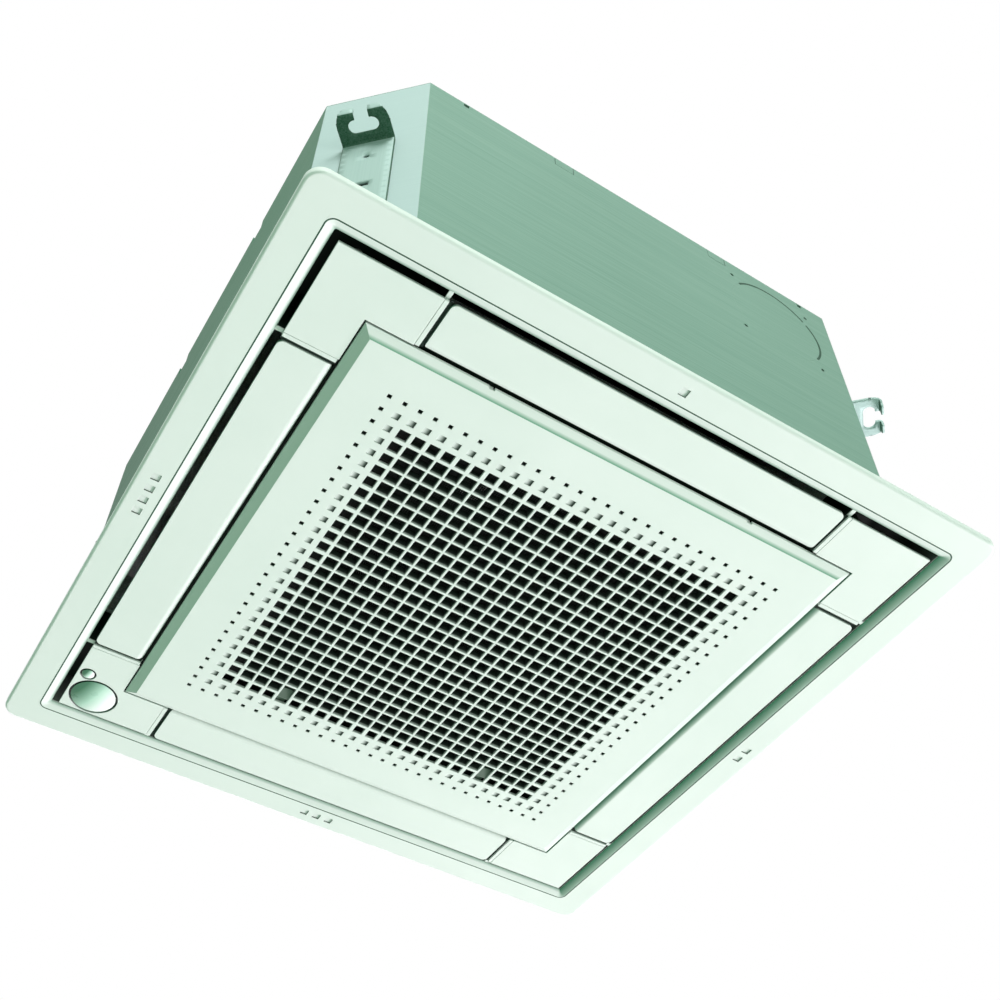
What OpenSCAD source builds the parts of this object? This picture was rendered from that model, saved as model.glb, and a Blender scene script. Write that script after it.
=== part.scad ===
// Ceiling cassette air conditioner with a flush square panel and four louvres.
// Millimetres, +Z up. The origin is the panel's centre on the ceiling's lower face,
// which is the plane of the flange's upper face.

/* [Casing] */
// Outer width of the square casing
casing_w = 575; // [565:1:585]
// Height of the casing above the panel
casing_h = 260; // [255:1:275]
// Thickness of the casing's sheet steel
sheet_t = 1; // [0.8:0.1:1.4]
// Leg of the chamfer at the two left corners
left_cut = 65.4; // [62:0.1:70]
// Leg of the chamfer at the two right corners
right_cut = 71.7; // [68:0.1:76]
// Length by which the left wall runs on past its far chamfer
wall_return = 16.7; // [10:0.1:20]
// Width of the inward ledge along the casing's lower edge
ledge_w = 11; // [8:0.5:12]
// Width of the tabs and notches along the upper edge
tab_w = 20; // [14:1:26]
// Depth of the tabs and notches along the upper edge
tab_h = 12; // [8:1:16]
// Distance of each tab and notch from the middle of its wall
tab_x = 85; // [60:1:110]

/* [Knock-out] */
// Diameter of the knock-out in the front wall
knockout_d = 101; // [80:1:110]
// Place of the knock-out along the front wall
knockout_x = 145; // [130:1:150]
// Height of the knock-out's centre above the ceiling plane
knockout_z = 228; // [215:1:230]
// Pitch of the four screw holes round the knock-out
knockout_pitch = 88; // [80:1:92]

/* [Hangers] */
// Distance between the hanging rods, along both axes
rod_pitch = 533; // [531:0.5:535]
// Height of the hook plate's lower face above the ceiling plane
hook_z = 193.5; // [170:0.5:210]
// Width of a hanger bracket
hook_w = 43; // [38:0.5:48]
// Thickness of a hanger bracket
hook_t = 2.3; // [2:0.1:3]
// Length of the rod slot from end to end
slot_l = 25; // [22:0.5:28]
// Width of the rod slot
slot_w = 11.2; // [10:0.1:13]
// Width of the slot's open mouth
mouth_w = 12; // [10:0.5:13]
// Reach of the hook plate past the slot's middle line
hook_reach = 12; // [10:0.5:15]
// Height of the lips on the hook's tips
lip_h = 9.5; // [6:0.5:12]

/* [Panel] */
// Outer width of the square panel
panel_w = 620; // [610:1:640]
// Height of the panel from the grille's face to the casing
panel_h = 46; // [44:1:50]
// Thickness of the panel's flange
flange_t = 6.5; // [5.5:0.1:8]
// Radius of the panel's outer corners
panel_r = 13; // [10:0.5:18]
// Width of the flat flange face
rim_w = 26.4; // [22:0.1:30]
// Width of the bevel inside the flange
bevel_w = 7.9; // [5:0.1:9]
// Rise of the bevel inside the flange
bevel_h = 4; // [3:0.1:4.5]
// Wall thickness of the panel's ducts
duct_wall = 2.5; // [2:0.1:3]
// Width of the dark gap between the bevel and the louvres
slot_gap = 5.7; // [4.5:0.1:7]
// Side of the square index marks in the flange
mark_w = 7; // [5:0.5:8]
// Pitch of the index marks
mark_pitch = 13; // [10:0.5:16]
// Depth of the index marks
mark_depth = 1.2; // [0.8:0.1:2]

/* [Louvres] */
// Width of a louvre from its outer edge to its nose
louvre_w = 43.5; // [41:0.5:44.5]
// Thickness of a louvre's plate
louvre_t = 2.6; // [2:0.1:3]
// Radius of a louvre's rounded nose
nose_r = 6.5; // [6:0.1:6.5]
// Radius of a louvre's end pins
louvre_pin_r = 2; // [1.8:0.1:2.2]
// Gap between a louvre's end and the duct's end wall
louvre_end_gap = 3.3; // [2:0.1:4]
// Thickness of the duct's end walls
end_wall = 3.5; // [3:0.1:4.5]
// Diameter of a louvre motor
louvre_motor_d = 24; // [20:1:26]
// Length of a louvre motor
louvre_motor_l = 18; // [12:1:20]

/* [Corner covers] */
// Side of a corner cover
cover_w = 83; // [78:0.5:86]
// Thickness of a corner cover
cover_t = 2.5; // [2:0.1:3]
// Diameter of the large sensor dome
dome_d = 41.5; // [38:0.5:44]
// Height of the large sensor dome
dome_h = 4.4; // [3:0.1:4.5]
// Diameter of the small sensor dome
pip_d = 12.5; // [10:0.5:14]
// Height of the small sensor dome
pip_h = 2; // [1:0.1:3]

/* [Suction grille] */
// Outer width of the suction grille
grille_w = 449; // [446:0.5:450]
// Width of the bevel round the grille's face
grille_bevel = 8; // [6:0.5:10]
// Depth by which the grille's face stands below the flange
grille_drop = 4.5; // [4:0.1:5]
// Thickness of the grille's plate
grille_t = 2.5; // [2:0.1:2.8]
// Pitch of the grille's holes
hole_pitch = 12.95; // [12.8:0.05:13.1]
// Rings of full holes counted from the middle hole outwards
full_rings = 11; // [9:1:11]
// Side of the full holes
full_hole = 11; // [10:0.1:11.4]
// Side of the holes in the first ring outside the full ones
third_hole = 9.3; // [8:0.1:10]
// Side of the blind holes in the ring after that
blind_hole = 6; // [5:0.1:7]
// Side of the small holes in the outermost ring
small_hole = 3.5; // [3:0.1:4]
// Depth of the blind holes
blind_depth = 1.2; // [0.8:0.1:1.6]
// Height of the ribs between the full holes
rib_h = 8; // [6:0.5:8]

/* [Filter] */
// Width of the air filter
filter_w = 392; // [380:1:394]
// Height of the filter's frame
filter_h = 6.5; // [5:0.5:7]
// Bars across the filter each way
filter_bars = 4; // [2:1:6]
// Gaps of the filter's net along each side of the frame
net_gaps = 15; // [10:1:16]

/* [Fan] */
// Outer diameter of the fan
fan_d = 310; // [300:1:316]
// Number of blades
blade_n = 7; // [5:1:9]
// Radius of the bell mouth's throat
throat_r = 112; // [108:1:114]
// Radius of the bell mouth's flare
flare_r = 38; // [34:1:38]
// Thickness of the bell mouth and the fan's shells
shell_t = 2; // [1.6:0.1:2.4]
// Inner radius of the fan's motor cup
cup_r = 66; // [64:1:70]
// Radius of the fan motor
motor_r = 58; // [54:1:60]
// Height of the fan motor
motor_h = 70; // [60:1:72]
// Radius of the motor's shaft
shaft_r = 5; // [4:0.5:6]

/* [Heat exchanger] */
// Outer width of the square coil
coil_w = 416; // [412:1:418]
// Thickness of the coil's fin pack
coil_t = 22; // [20:1:23]
// Height of the coil
coil_h = 208; // [200:1:210]
// Outer radius of the coil's bends
coil_r = 51; // [45:1:60]
// Distance from the centre to the coil's cut ends
coil_end = 165; // [160:1:168]
// Radius of the coil's tubes
tube_r = 3.5; // [3:0.1:4]
// Tubes in each of the coil's two rows
tube_n = 10; // [10:2:10]

/* [Pipes] */
// Radius of the gas pipe
gas_r = 6.35; // [6:0.05:6.5]
// Radius of the liquid pipe
liquid_r = 3.175; // [3:0.025:3.5]
// Outer radius of the drain socket
drain_r = 13; // [12:0.5:14]
// Length of the pipes and the drain socket outside the casing
pipe_out = 38; // [30:1:50]

/* [Foam] */
// Thickness of the foam lining the casing
foam_t = 15; // [12:0.5:15.5]
// Thickness of the drain pan
pan_t = 48; // [46:1:50]
// Depth of the drain pan's trough
trough_d = 18; // [14:1:20]

/* [Hidden] */
$fn = 64;

// Colours of the finishes
panel_white = [0.88, 0.93, 0.89];
steel_grey = [0.62, 0.72, 0.67];
foam_white = [0.93, 0.94, 0.92];
fan_grey = [0.75, 0.77, 0.78];
fin_silver = [0.78, 0.8, 0.82];
copper = [0.75, 0.45, 0.3];
brass_gold = [0.78, 0.64, 0.32];
dark_grey = [0.18, 0.19, 0.2];
board_green = [0.12, 0.4, 0.25];
rubber_black = [0.08, 0.08, 0.08];
pump_white = [0.85, 0.86, 0.84];

// Overrun of every cut, and the clearances that the fits share
over = 1;
seat_gap = 0.3;
run_gap = 0.05;
root_two = sqrt(2);

// Places that follow from the driving sizes
casing_b = casing_w / 2;
panel_b = panel_w / 2;
panel_top = panel_h - flange_t - grille_drop;
casing_top = panel_top + casing_h;
plate_z = casing_top - sheet_t;
pan_z = panel_top + sheet_t;
pan_top = pan_z + pan_t;
face_z = -flange_t - grille_drop;
well_b = panel_b - rim_w;
duct_b = well_b - bevel_w;
louvre_b = duct_b - slot_gap;
pivot_r = louvre_b - louvre_w + nose_r;
pivot_z = -flange_t + nose_r;
cover_in = louvre_b - cover_w;
post_out = cover_in - seat_gap;
post_in = post_out - end_wall;
louvre_half = post_in - louvre_end_gap;
nose_gap = 1.2;
inner_wall_t = 4.3;
inner_lift = 1.5;
rim_room = 1.7;
inner_out = pivot_r - nose_r - nose_gap;
inner_in = inner_out - inner_wall_t;
inner_z = pivot_z + inner_lift;
grille_b = grille_w / 2;
grille_face_b = grille_b - grille_bevel;
inner_room = grille_b + rim_room;

// Signs of the four corners, counted from near left round to far left
corners = [[-1, -1], [1, -1], [1, 1], [-1, 1]];

// Outline of the casing set in by t. A wall set in by t shortens a chamfer's leg
// by t times the share below.
inset_share = 2 - root_two;
function outline(t) =
    let (b = casing_b - t, cl = left_cut - inset_share * t, cr = right_cut - inset_share * t,
         end_y = casing_b - left_cut + wall_return - t, end_x = end_y - 2 * b + cl)
    [[-b, -b + cl], [-b + cl, -b], [b - cr, -b], [b, -b + cr], [b, b - cr],
     [b - cr, b], [-b + cl, b], [end_x, end_y], [-b, end_y]];

module outline_plate(t, h) {
    linear_extrude(h) polygon(outline(t));
}

// The bent strip of sheet between two corners of the outline
module bent_strip(first, last, depth, h) {
    outer = outline(0);
    inner = outline(depth);
    n = len(outer);
    linear_extrude(h) polygon(concat(
        [for (k = [first:last]) outer[k % n]],
        [for (k = [last:-1:first]) inner[k % n]]));
}

// A square with true round corners, centred
module round_square(w, r) {
    square([w - 2 * r, w], center = true);
    square([w, w - 2 * r], center = true);
    for (s = corners) translate([s[0] * (w / 2 - r), s[1] * (w / 2 - r)]) circle(r);
}

module round_rect(x, y, r) {
    square([x - 2 * r, y], center = true);
    square([x, y - 2 * r], center = true);
    for (s = corners) translate([s[0] * (x / 2 - r), s[1] * (y / 2 - r)]) circle(r);
}

// A box between two corners
module span(low, high) {
    translate(low) cube(high - low);
}

// A square frustum standing on z = 0 with mitred corners
module frustum(low_b, high_b, h) {
    side = [[-low_b, 0], [low_b, 0], [high_b, h], [-high_b, h]];
    reach = 2 * max(low_b, high_b) + 2 * over;
    intersection() {
        rotate([90, 0, 0]) linear_extrude(reach, center = true) polygon(side);
        rotate([90, 0, 90]) linear_extrude(reach, center = true) polygon(side);
    }
}

// A ring between two half widths
module square_ring(outer_b, inner_b, h) {
    difference() {
        translate([-outer_b, -outer_b, 0]) cube([2 * outer_b, 2 * outer_b, h]);
        translate([-inner_b, -inner_b, -over])
            cube([2 * inner_b, 2 * inner_b, h + 2 * over]);
    }
}

// A straight tube, solid where the bore is 0
module tube(outer, inner, h) {
    difference() {
        cylinder(h = h, r = outer);
        if (inner > 0) translate([0, 0, -over]) cylinder(h = h + 2 * over, r = inner);
    }
}

// A spherical cap standing on a short round wall, with its crown towards -Z
module dome(d, crown, wall_h) {
    ball_r = (d * d / 4 + crown * crown) / (2 * crown);
    intersection() {
        translate([0, 0, -crown]) cylinder(h = crown + wall_h, r = d / 2);
        union() {
            translate([0, 0, ball_r - crown]) sphere(ball_r);
            cylinder(h = wall_h, r = d / 2);
        }
    }
}

// Casing

wall_h = plate_z - panel_top;
small_notch = 5;
small_notch_x = 186;
knock_gap = 0.6;
knock_screw_r = 2;
pipe_hole = [54, 74];

// The openings in the right wall for the pipes, and in the back wall for the drain
gas_z = 240;
liquid_z = 205;
header_y = 191;
liquid_y = 180;
drain_x = 192;
drain_z = 206;
drain_root_r = drain_r + 1;
pipe_mid_z = (gas_z + liquid_z) / 2;
gland_y = -196;
gland_z = 62;
gland_r = 13;

module wall(first, last) {
    translate([0, 0, panel_top]) {
        bent_strip(first, last, sheet_t, wall_h);
        bent_strip(first, last, ledge_w, sheet_t);
    }
}

// Cuts through a wall that faces -Y, at its upper edge
module edge_cut(x, w, h) {
    span([x - w / 2, -casing_b - over, plate_z - h],
         [x + w / 2, -casing_b + sheet_t + over, plate_z + over]);
}

module front_wall() color(steel_grey) difference() {
    wall(0, 2);
    for (s = [-1, 1]) {
        edge_cut(s * tab_x, tab_w, tab_h);
        edge_cut(s * small_notch_x, small_notch, small_notch);
    }
    translate([knockout_x, -casing_b + sheet_t + over, knockout_z]) rotate([90, 0, 0]) {
        cylinder(h = sheet_t + 2 * over, r = knockout_d / 2);
        for (s = corners)
            translate([s[0] * knockout_pitch / 2, s[1] * knockout_pitch / 2, 0])
                cylinder(h = sheet_t + 2 * over, r = knock_screw_r);
    }
}

module knockout_disc() color(steel_grey)
    translate([knockout_x, -casing_b + sheet_t, knockout_z]) rotate([90, 0, 0])
        cylinder(h = sheet_t, r = knockout_d / 2 - knock_gap);

module right_wall() color(steel_grey) difference() {
    wall(2, 4);
    for (s = [-1, 1]) rotate(90) edge_cut(s * tab_x, tab_w, tab_h);
    span([casing_b - sheet_t - over, header_y - pipe_hole[0] / 2 + seat_gap, pipe_mid_z - pipe_hole[1] / 2],
         [casing_b + over, header_y + pipe_hole[0] / 2 - 3 * over, pipe_mid_z + pipe_hole[1] / 2]);
    translate([casing_b - sheet_t - over, gland_y, gland_z]) rotate([0, 90, 0])
        cylinder(h = sheet_t + 2 * over, r = gland_r);
}

module back_wall() color(steel_grey) difference() {
    wall(4, 6);
    for (s = [-1, 1]) rotate(180) edge_cut(s * tab_x, tab_w, tab_h);
    translate([drain_x, casing_b + over, drain_z]) rotate([90, 0, 0])
        cylinder(h = sheet_t + 2 * over, r = drain_root_r + seat_gap);
}

module left_wall() color(steel_grey) difference() {
    wall(6, 9);
    for (s = [-1, 1]) rotate(-90) edge_cut(s * tab_x, tab_w, tab_h);
}

module top_plate() color(steel_grey) {
    difference() {
        translate([0, 0, plate_z]) outline_plate(0, sheet_t);
        for (s = [-1, 1], a = [90, -90]) rotate(a)
            span([s * tab_x - tab_w / 2, -casing_b - over, plate_z - over],
                 [s * tab_x + tab_w / 2, -casing_b + 3 * sheet_t, casing_top + over]);
    }
    // The tabs folded down into the notches of the front and back walls
    for (s = [-1, 1], a = [0, 180]) rotate(a)
        span([s * tab_x - tab_w / 2 + knock_gap, -casing_b, plate_z - tab_h + knock_gap],
             [s * tab_x + tab_w / 2 - knock_gap, -casing_b + sheet_t, plate_z]);
}

// The plate that closes the pipe opening, with a collar round each pipe
plate_lap = 6;
collar_t = 3;
collar_h = 4;
module pipe_plate() color(steel_grey) difference() {
    union() {
        span([casing_b, header_y - pipe_hole[0] / 2 - plate_lap, pipe_mid_z - pipe_hole[1] / 2 - plate_lap],
             [casing_b + sheet_t, casing_b - right_cut - seat_gap,
              pipe_mid_z + pipe_hole[1] / 2 + plate_lap]);
        translate([casing_b, header_y, gas_z]) rotate([0, 90, 0])
            cylinder(h = collar_h, r = gas_r + collar_t);
        translate([casing_b, liquid_y, liquid_z]) rotate([0, 90, 0])
            cylinder(h = collar_h, r = liquid_r + collar_t);
    }
    translate([casing_b - over, header_y, gas_z]) rotate([0, 90, 0])
        cylinder(h = collar_h + 2 * over, r = gas_r + seat_gap);
    translate([casing_b - over, liquid_y, liquid_z]) rotate([0, 90, 0])
        cylinder(h = collar_h + 2 * over, r = liquid_r + seat_gap);
}

// Rubber gland through which the mains and control cables enter
gland_lip = 3;
gland_bore = 9;
module cable_gland() color(rubber_black) translate([casing_b, gland_y, gland_z]) rotate([0, 90, 0])
    difference() {
        union() {
            translate([0, 0, -sheet_t - seat_gap])
                cylinder(h = sheet_t + 2 * seat_gap, r = gland_r - run_gap);
            cylinder(h = gland_lip, r = gland_r + gland_lip);
        }
        translate([0, 0, -2 * over - sheet_t]) cylinder(h = gland_lip + 4 * over, r = gland_bore);
    }

// Hanger brackets

hook_slot_d = rod_pitch / root_two;
lip_r = 3;
leg_low = 45;
leg_hole_z = 26;
leg_hole_r = 2.8;
leg_slot = [11, 7];
leg_slot_z = 75;
tip_b = 16.5;

// In a corner's own frame +X points outwards and the leg stands on the plane x = 0
module hook_plate_shape(root_x, slot_x) {
    tip_x = slot_x + hook_reach;
    bend_x = slot_x;
    difference() {
        union() {
            translate([root_x, -hook_w / 2]) square([bend_x - root_x, hook_w]);
            intersection() {
                translate([bend_x, -hook_w / 2]) square([tip_x - bend_x, hook_w]);
                translate([bend_x, 0]) circle(hook_w / 2);
                translate([bend_x - over, -hook_w / 2]) square([hook_w, hook_w]);
            }
            translate([bend_x, -tip_b]) square([tip_x - bend_x, 2 * tip_b]);
        }
        for (s = [-1, 1])
            translate([slot_x, s * (slot_l - slot_w) / 2]) circle(slot_w / 2);
        translate([slot_x - slot_w / 2, -(slot_l - slot_w) / 2]) square([slot_w, slot_l - slot_w]);
        translate([slot_x, -mouth_w / 2]) square([hook_reach + over, mouth_w]);
    }
}

// A lip standing on a tip's edge, with its free corner round
module lip() {
    tip = tip_b - mouth_w / 2;
    rotate([90, 0, 90]) linear_extrude(hook_t) difference() {
        square([tip, lip_h]);
        translate([tip - lip_r, lip_h - lip_r]) difference() {
            square(2 * lip_r);
            circle(lip_r);
        }
    }
}

module hanger(corner, cut, lip_up) {
    plane_d = (2 * casing_b - cut) / root_two;
    slot_x = hook_slot_d - plane_d;
    rotate(45 + 90 * corner) translate([plane_d, 0, 0]) difference() {
        union() {
            translate([0, -hook_w / 2, leg_low]) cube([hook_t, hook_w, hook_z + hook_t - leg_low]);
            translate([0, 0, hook_z]) linear_extrude(hook_t) hook_plate_shape(0, slot_x);
            for (y = [-tip_b, mouth_w / 2])
                translate([slot_x + hook_reach - hook_t, y, lip_up ? hook_z : hook_z + hook_t])
                    mirror([0, 0, lip_up ? 0 : 1]) lip();
        }
        translate([-over, 0, hook_z - leg_hole_z]) rotate([0, 90, 0])
            cylinder(h = hook_t + 2 * over, r = leg_hole_r);
        translate([-over, -leg_slot[0] / 2, hook_z - leg_slot_z - leg_slot[1] / 2])
            cube([hook_t + 2 * over, leg_slot[0], leg_slot[1]]);
    }
}

module hanger_far_right() color(steel_grey) hanger(0, right_cut, true);
module hanger_far_left() color(steel_grey) hanger(1, left_cut, false);
module hanger_near_left() color(steel_grey) hanger(2, left_cut, true);
module hanger_near_right() color(steel_grey) hanger(3, right_cut, false);

// Foam liner and drain pan

foam_in = sheet_t + seat_gap + foam_t;
foam_top = plate_z - seat_gap;
motor_hole_r = 95;
pan_hole_r = flare_r + throat_r + shell_t;
pan_slot_in = inner_out + inner_lift;
pan_slot_out = casing_b - foam_in;
trough_gap = 5;
trough_out = coil_w / 2 + trough_gap;
trough_in = coil_w / 2 - coil_t - trough_gap;
trough_z = pan_top - trough_d;
sump_out = 218;
pump_c = 224;
sump_r = 20;
bore_gap = 2;

module foam_liner() color(foam_white) difference() {
    translate([0, 0, pan_top + seat_gap]) outline_plate(sheet_t + seat_gap, foam_top - pan_top - seat_gap);
    translate([0, 0, pan_top - over]) outline_plate(foam_in, foam_top - foam_t - pan_top + over);
    translate([0, 0, foam_top - foam_t - over]) cylinder(h = foam_t + 2 * over, r = motor_hole_r);
    translate([casing_b - foam_in - over, header_y, gas_z]) rotate([0, 90, 0])
        cylinder(h = foam_t + 2 * over, r = gas_r + bore_gap);
    translate([casing_b - foam_in - over, liquid_y, liquid_z]) rotate([0, 90, 0])
        cylinder(h = foam_t + 2 * over, r = liquid_r + bore_gap);
    translate([drain_x, casing_b, drain_z]) rotate([90, 0, 0])
        cylinder(h = foam_in + over, r = drain_r + bore_gap);
}

module drain_pan() color(foam_white) difference() {
    translate([0, 0, pan_z]) outline_plate(sheet_t + seat_gap, pan_t);
    translate([0, 0, pan_z - over]) cylinder(h = pan_t + 2 * over, r = pan_hole_r);
    for (a = [0:90:270]) rotate(a)
        span([pan_slot_in, -louvre_half, pan_z - over], [pan_slot_out, louvre_half, pan_top + over]);
    translate([0, 0, trough_z]) linear_extrude(trough_d + over) difference() {
        round_square(2 * trough_out, coil_r + trough_gap);
        round_square(2 * trough_in, coil_r - coil_t - trough_gap);
    }
    // The sump under the pump and the float
    span([coil_end, coil_end, trough_z - seat_gap], [sump_out, sump_out, pan_top + over]);
    translate([pump_c, pump_c, trough_z - seat_gap]) cylinder(h = trough_d + 2 * over, r = sump_r);
    // Way for the cables from the gland down to the panel
    translate([casing_b - 2 * foam_in, gland_y, gland_z]) rotate([0, 90, 0])
        cylinder(h = 2 * foam_in, r = gland_bore);
    translate([casing_b - 2 * foam_in, gland_y, pan_z - over])
        cylinder(h = gland_z - pan_z + over, r = gland_bore);
}

module panel_seal() color(rubber_black) translate([0, 0, panel_top])
    square_ring(inner_out, inner_in, sheet_t);

// Bell mouth

bell_b = inner_in - 6;
bell_t = 2.5;
bell_lip = 4;
bell_corner_r = 22;

module bell_mouth() color(fan_grey) {
    difference() {
        translate([0, 0, pan_z - bell_t]) linear_extrude(bell_t) round_square(2 * bell_b, bell_corner_r);
        translate([0, 0, pan_z - bell_t - over]) cylinder(h = bell_t + 2 * over, r = throat_r + flare_r);
    }
    translate([0, 0, pan_z - bell_t + flare_r]) rotate_extrude() {
        translate([throat_r + flare_r, 0]) difference() {
            intersection() {
                circle(flare_r);
                translate([-flare_r, -flare_r]) square(flare_r);
            }
            circle(flare_r - shell_t);
        }
        translate([throat_r, 0]) square([shell_t, bell_lip]);
        translate([throat_r + flare_r, -flare_r]) square([shell_t, bell_t]);
    }
}

// Fan

fan_r = fan_d / 2;
bell_end_z = pan_z - bell_t + flare_r + bell_lip;
shroud_gap = 2;
shroud_in = throat_r + shell_t + shroud_gap;
shroud_z = bell_end_z - 2 * bell_lip;
shroud_r = fan_r - shroud_in;
fan_top = 238;
cup_low = 204;
hub_r = 14;
hub_low = 196;
blade_in_r = 96;
blade_arc_r = 110;
blade_t = 2.4;
blade_sweep = 38;
blade_reach_share = 0.75;
nut_r = 9;
nut_h = 8;
washer_r = 15;
washer_t = 1.5;

// The blade is an arc that trails from the inner to the outer radius. The arc's centre
// lies on the perpendicular through the middle of the chord between its two ends.
module blade_shape() {
    tip_r = fan_r - shell_t / 2;
    tip = tip_r * [cos(blade_sweep), -sin(blade_sweep)];
    chord = tip - [blade_in_r, 0];
    mid = (tip + [blade_in_r, 0]) / 2;
    rise = sqrt(blade_arc_r * blade_arc_r - chord * chord / 4);
    centre = mid + rise * [chord[1], -chord[0]] / norm(chord);
    intersection() {
        difference() {
            circle(tip_r);
            circle(blade_in_r);
        }
        translate(centre) difference() {
            circle(blade_arc_r + blade_t / 2);
            circle(blade_arc_r - blade_t / 2);
        }
        translate(mid) circle(blade_reach_share * norm(chord));
    }
}

// Half section of the space that the blades fill
module blade_space() rotate_extrude() difference() {
    translate([blade_in_r - over, shroud_z])
        square([fan_r - blade_in_r + over, fan_top - shroud_z + shell_t / 2]);
    translate([fan_r, shroud_z]) circle(shroud_r - shell_t / 2);
    translate([blade_in_r - 2 * over, shroud_z - over])
        square([shroud_in - blade_in_r + 3 * over, shroud_r / 2]);
}

module fan() color(fan_grey) {
    rotate_extrude() {
        // Shroud ring, with its hollow side over the bell mouth
        translate([fan_r, shroud_z]) difference() {
            intersection() {
                circle(shroud_r);
                translate([-shroud_r, 0]) square(shroud_r);
            }
            circle(shroud_r - shell_t);
        }
        // Back plate, motor cup and hub
        translate([cup_r, fan_top]) square([fan_r - cup_r, shell_t]);
        translate([cup_r, cup_low]) square([shell_t, fan_top - cup_low + shell_t]);
        translate([hub_r - over, cup_low]) square([cup_r - hub_r + 2 * over, shell_t]);
        translate([shaft_r, hub_low]) square([hub_r - shaft_r, cup_low - hub_low + 3 * shell_t]);
    }
    intersection() {
        blade_space();
        for (k = [0:blade_n - 1]) rotate(360 * k / blade_n)
            translate([0, 0, shroud_z]) linear_extrude(fan_top - shroud_z + shell_t / 2) blade_shape();
    }
}

module fan_shaft() color(fin_silver)
    translate([0, 0, hub_low - nut_h - 2 * washer_t])
        cylinder(h = motor_low - hub_low + motor_h / 2, r = shaft_r);

module fan_nut() color(fin_silver) {
    translate([0, 0, hub_low - washer_t]) tube(washer_r, shaft_r, washer_t);
    translate([0, 0, hub_low - washer_t - nut_h]) difference() {
        cylinder(h = nut_h, r = nut_r, $fn = 6);
        translate([0, 0, -over]) cylinder(h = nut_h + 2 * over, r = shaft_r);
    }
}

// Fan motor

mount_h = 10;
mount_r = 9;
lug_t = 4;
lug_d = 78;
lug_r = 11;
stud_r = 3;
stud_nut_r = 7.2;
bore_floor = 12;
motor_top = plate_z - mount_h;
motor_low = motor_top - motor_h;
motor_boss_r = 16;
motor_boss_h = 3;

lug_bar = 18;
motor_seat_r = motor_r - 6;

module motor_lugs() linear_extrude(lug_t) {
    circle(motor_seat_r);
    for (a = [0:120:240]) rotate(a) {
        translate([lug_d, 0]) circle(lug_r);
        translate([0, -lug_bar / 2]) square([lug_d, lug_bar]);
    }
}

module fan_motor() color(dark_grey) difference() {
    union() {
        translate([0, 0, motor_low + motor_boss_h])
            cylinder(h = motor_h - motor_boss_h - lug_t / 2, r = motor_r);
        translate([0, 0, motor_low]) cylinder(h = motor_boss_h + over, r = motor_boss_r);
        translate([0, 0, motor_top - lug_t]) motor_lugs();
    }
    translate([0, 0, motor_low - over]) cylinder(h = motor_h - bore_floor, r = shaft_r + run_gap);
    for (a = [0:120:240]) rotate(a) translate([lug_d, 0, motor_top - lug_t - over])
        cylinder(h = lug_t + 2 * over, r = stud_r);
}

module motor_mounts() color(rubber_black)
    for (a = [0:120:240]) rotate(a) translate([lug_d, 0, motor_top]) {
        cylinder(h = mount_h, r = mount_r);
        translate([0, 0, -lug_t]) cylinder(h = lug_t + over, r = stud_r - run_gap);
        translate([0, 0, -lug_t - nut_h / 2]) cylinder(h = nut_h / 2, r = stud_nut_r, $fn = 6);
    }

// Heat exchanger

coil_z = trough_z;
end_plate_t = 1.5;
end_plate_lap = 2;
row_share = 0.2;
end_share = 0.2;
row_x = [coil_w / 2 - (1 - row_share) * coil_t, coil_w / 2 - row_share * coil_t];
tube_pitch = coil_h / (tube_n + 2 * end_share);
tube_low = coil_z + (end_share + 1 / 2) * tube_pitch;
bend_lead = 2;

module coil_fins() color(fin_silver) translate([0, 0, coil_z]) linear_extrude(coil_h) difference() {
    round_square(coil_w, coil_r);
    round_square(coil_w - 2 * coil_t, coil_r - coil_t);
    translate([coil_end, coil_end]) square(coil_w);
    translate([coil_end, coil_w / 2 - coil_t - over]) square([coil_w, coil_w]);
    translate([coil_w / 2 - coil_t - over, coil_end]) square([coil_w, coil_w]);
}

// The two cut ends are mirror images across the line x = y
module both_ends() {
    children();
    mirror([1, -1, 0]) children();
}

module coil_end_plates() color(fin_silver) both_ends()
    span([coil_w / 2 - coil_t - end_plate_lap, coil_end, coil_z],
         [coil_w / 2 + end_plate_lap, coil_end + end_plate_t, coil_z + coil_h]);

// A return bend that joins tube k of a row with the one above it
module return_bend(x, k) {
    translate([x, coil_end + end_plate_t, tube_low + (k + 0.5) * tube_pitch]) {
        for (s = [-1, 1]) translate([0, 0, s * tube_pitch / 2]) rotate([-90, 0, 0])
            cylinder(h = bend_lead, r = tube_r);
        translate([0, bend_lead, 0]) rotate([0, -90, 0])
            rotate_extrude(angle = 180) translate([tube_pitch / 2, 0]) circle(tube_r);
    }
}

module coil_bends() color(copper) {
    for (x = row_x, k = [1:2:tube_n - 3]) return_bend(x, k);
    mirror([1, -1, 0]) for (x = row_x, k = [0:2:tube_n - 2]) return_bend(x, k);
}

header_r = 6;
header_low = coil_z + tube_r;
header_len = coil_h - 2 * tube_r;
liquid_x = row_x[1] + 2 * tube_r + over;
nut_len = 14;
nut_hex_r = 12;
nut_small_r = 8;

// A stub from a tube's end towards its header
module feed(x, y, k) {
    translate([x, coil_end + end_plate_t, tube_low + k * tube_pitch]) rotate([-90, 0, 0])
        cylinder(h = y - coil_end - end_plate_t, r = tube_r);
}

module gas_header() color(copper) {
    for (k = [0, tube_n - 1]) feed(row_x[0], header_y, k);
    translate([row_x[0], header_y, header_low]) cylinder(h = header_len, r = header_r);
    translate([row_x[0], header_y, gas_z]) rotate([0, 90, 0])
        cylinder(h = casing_b + pipe_out - row_x[0], r = gas_r);
}

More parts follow.
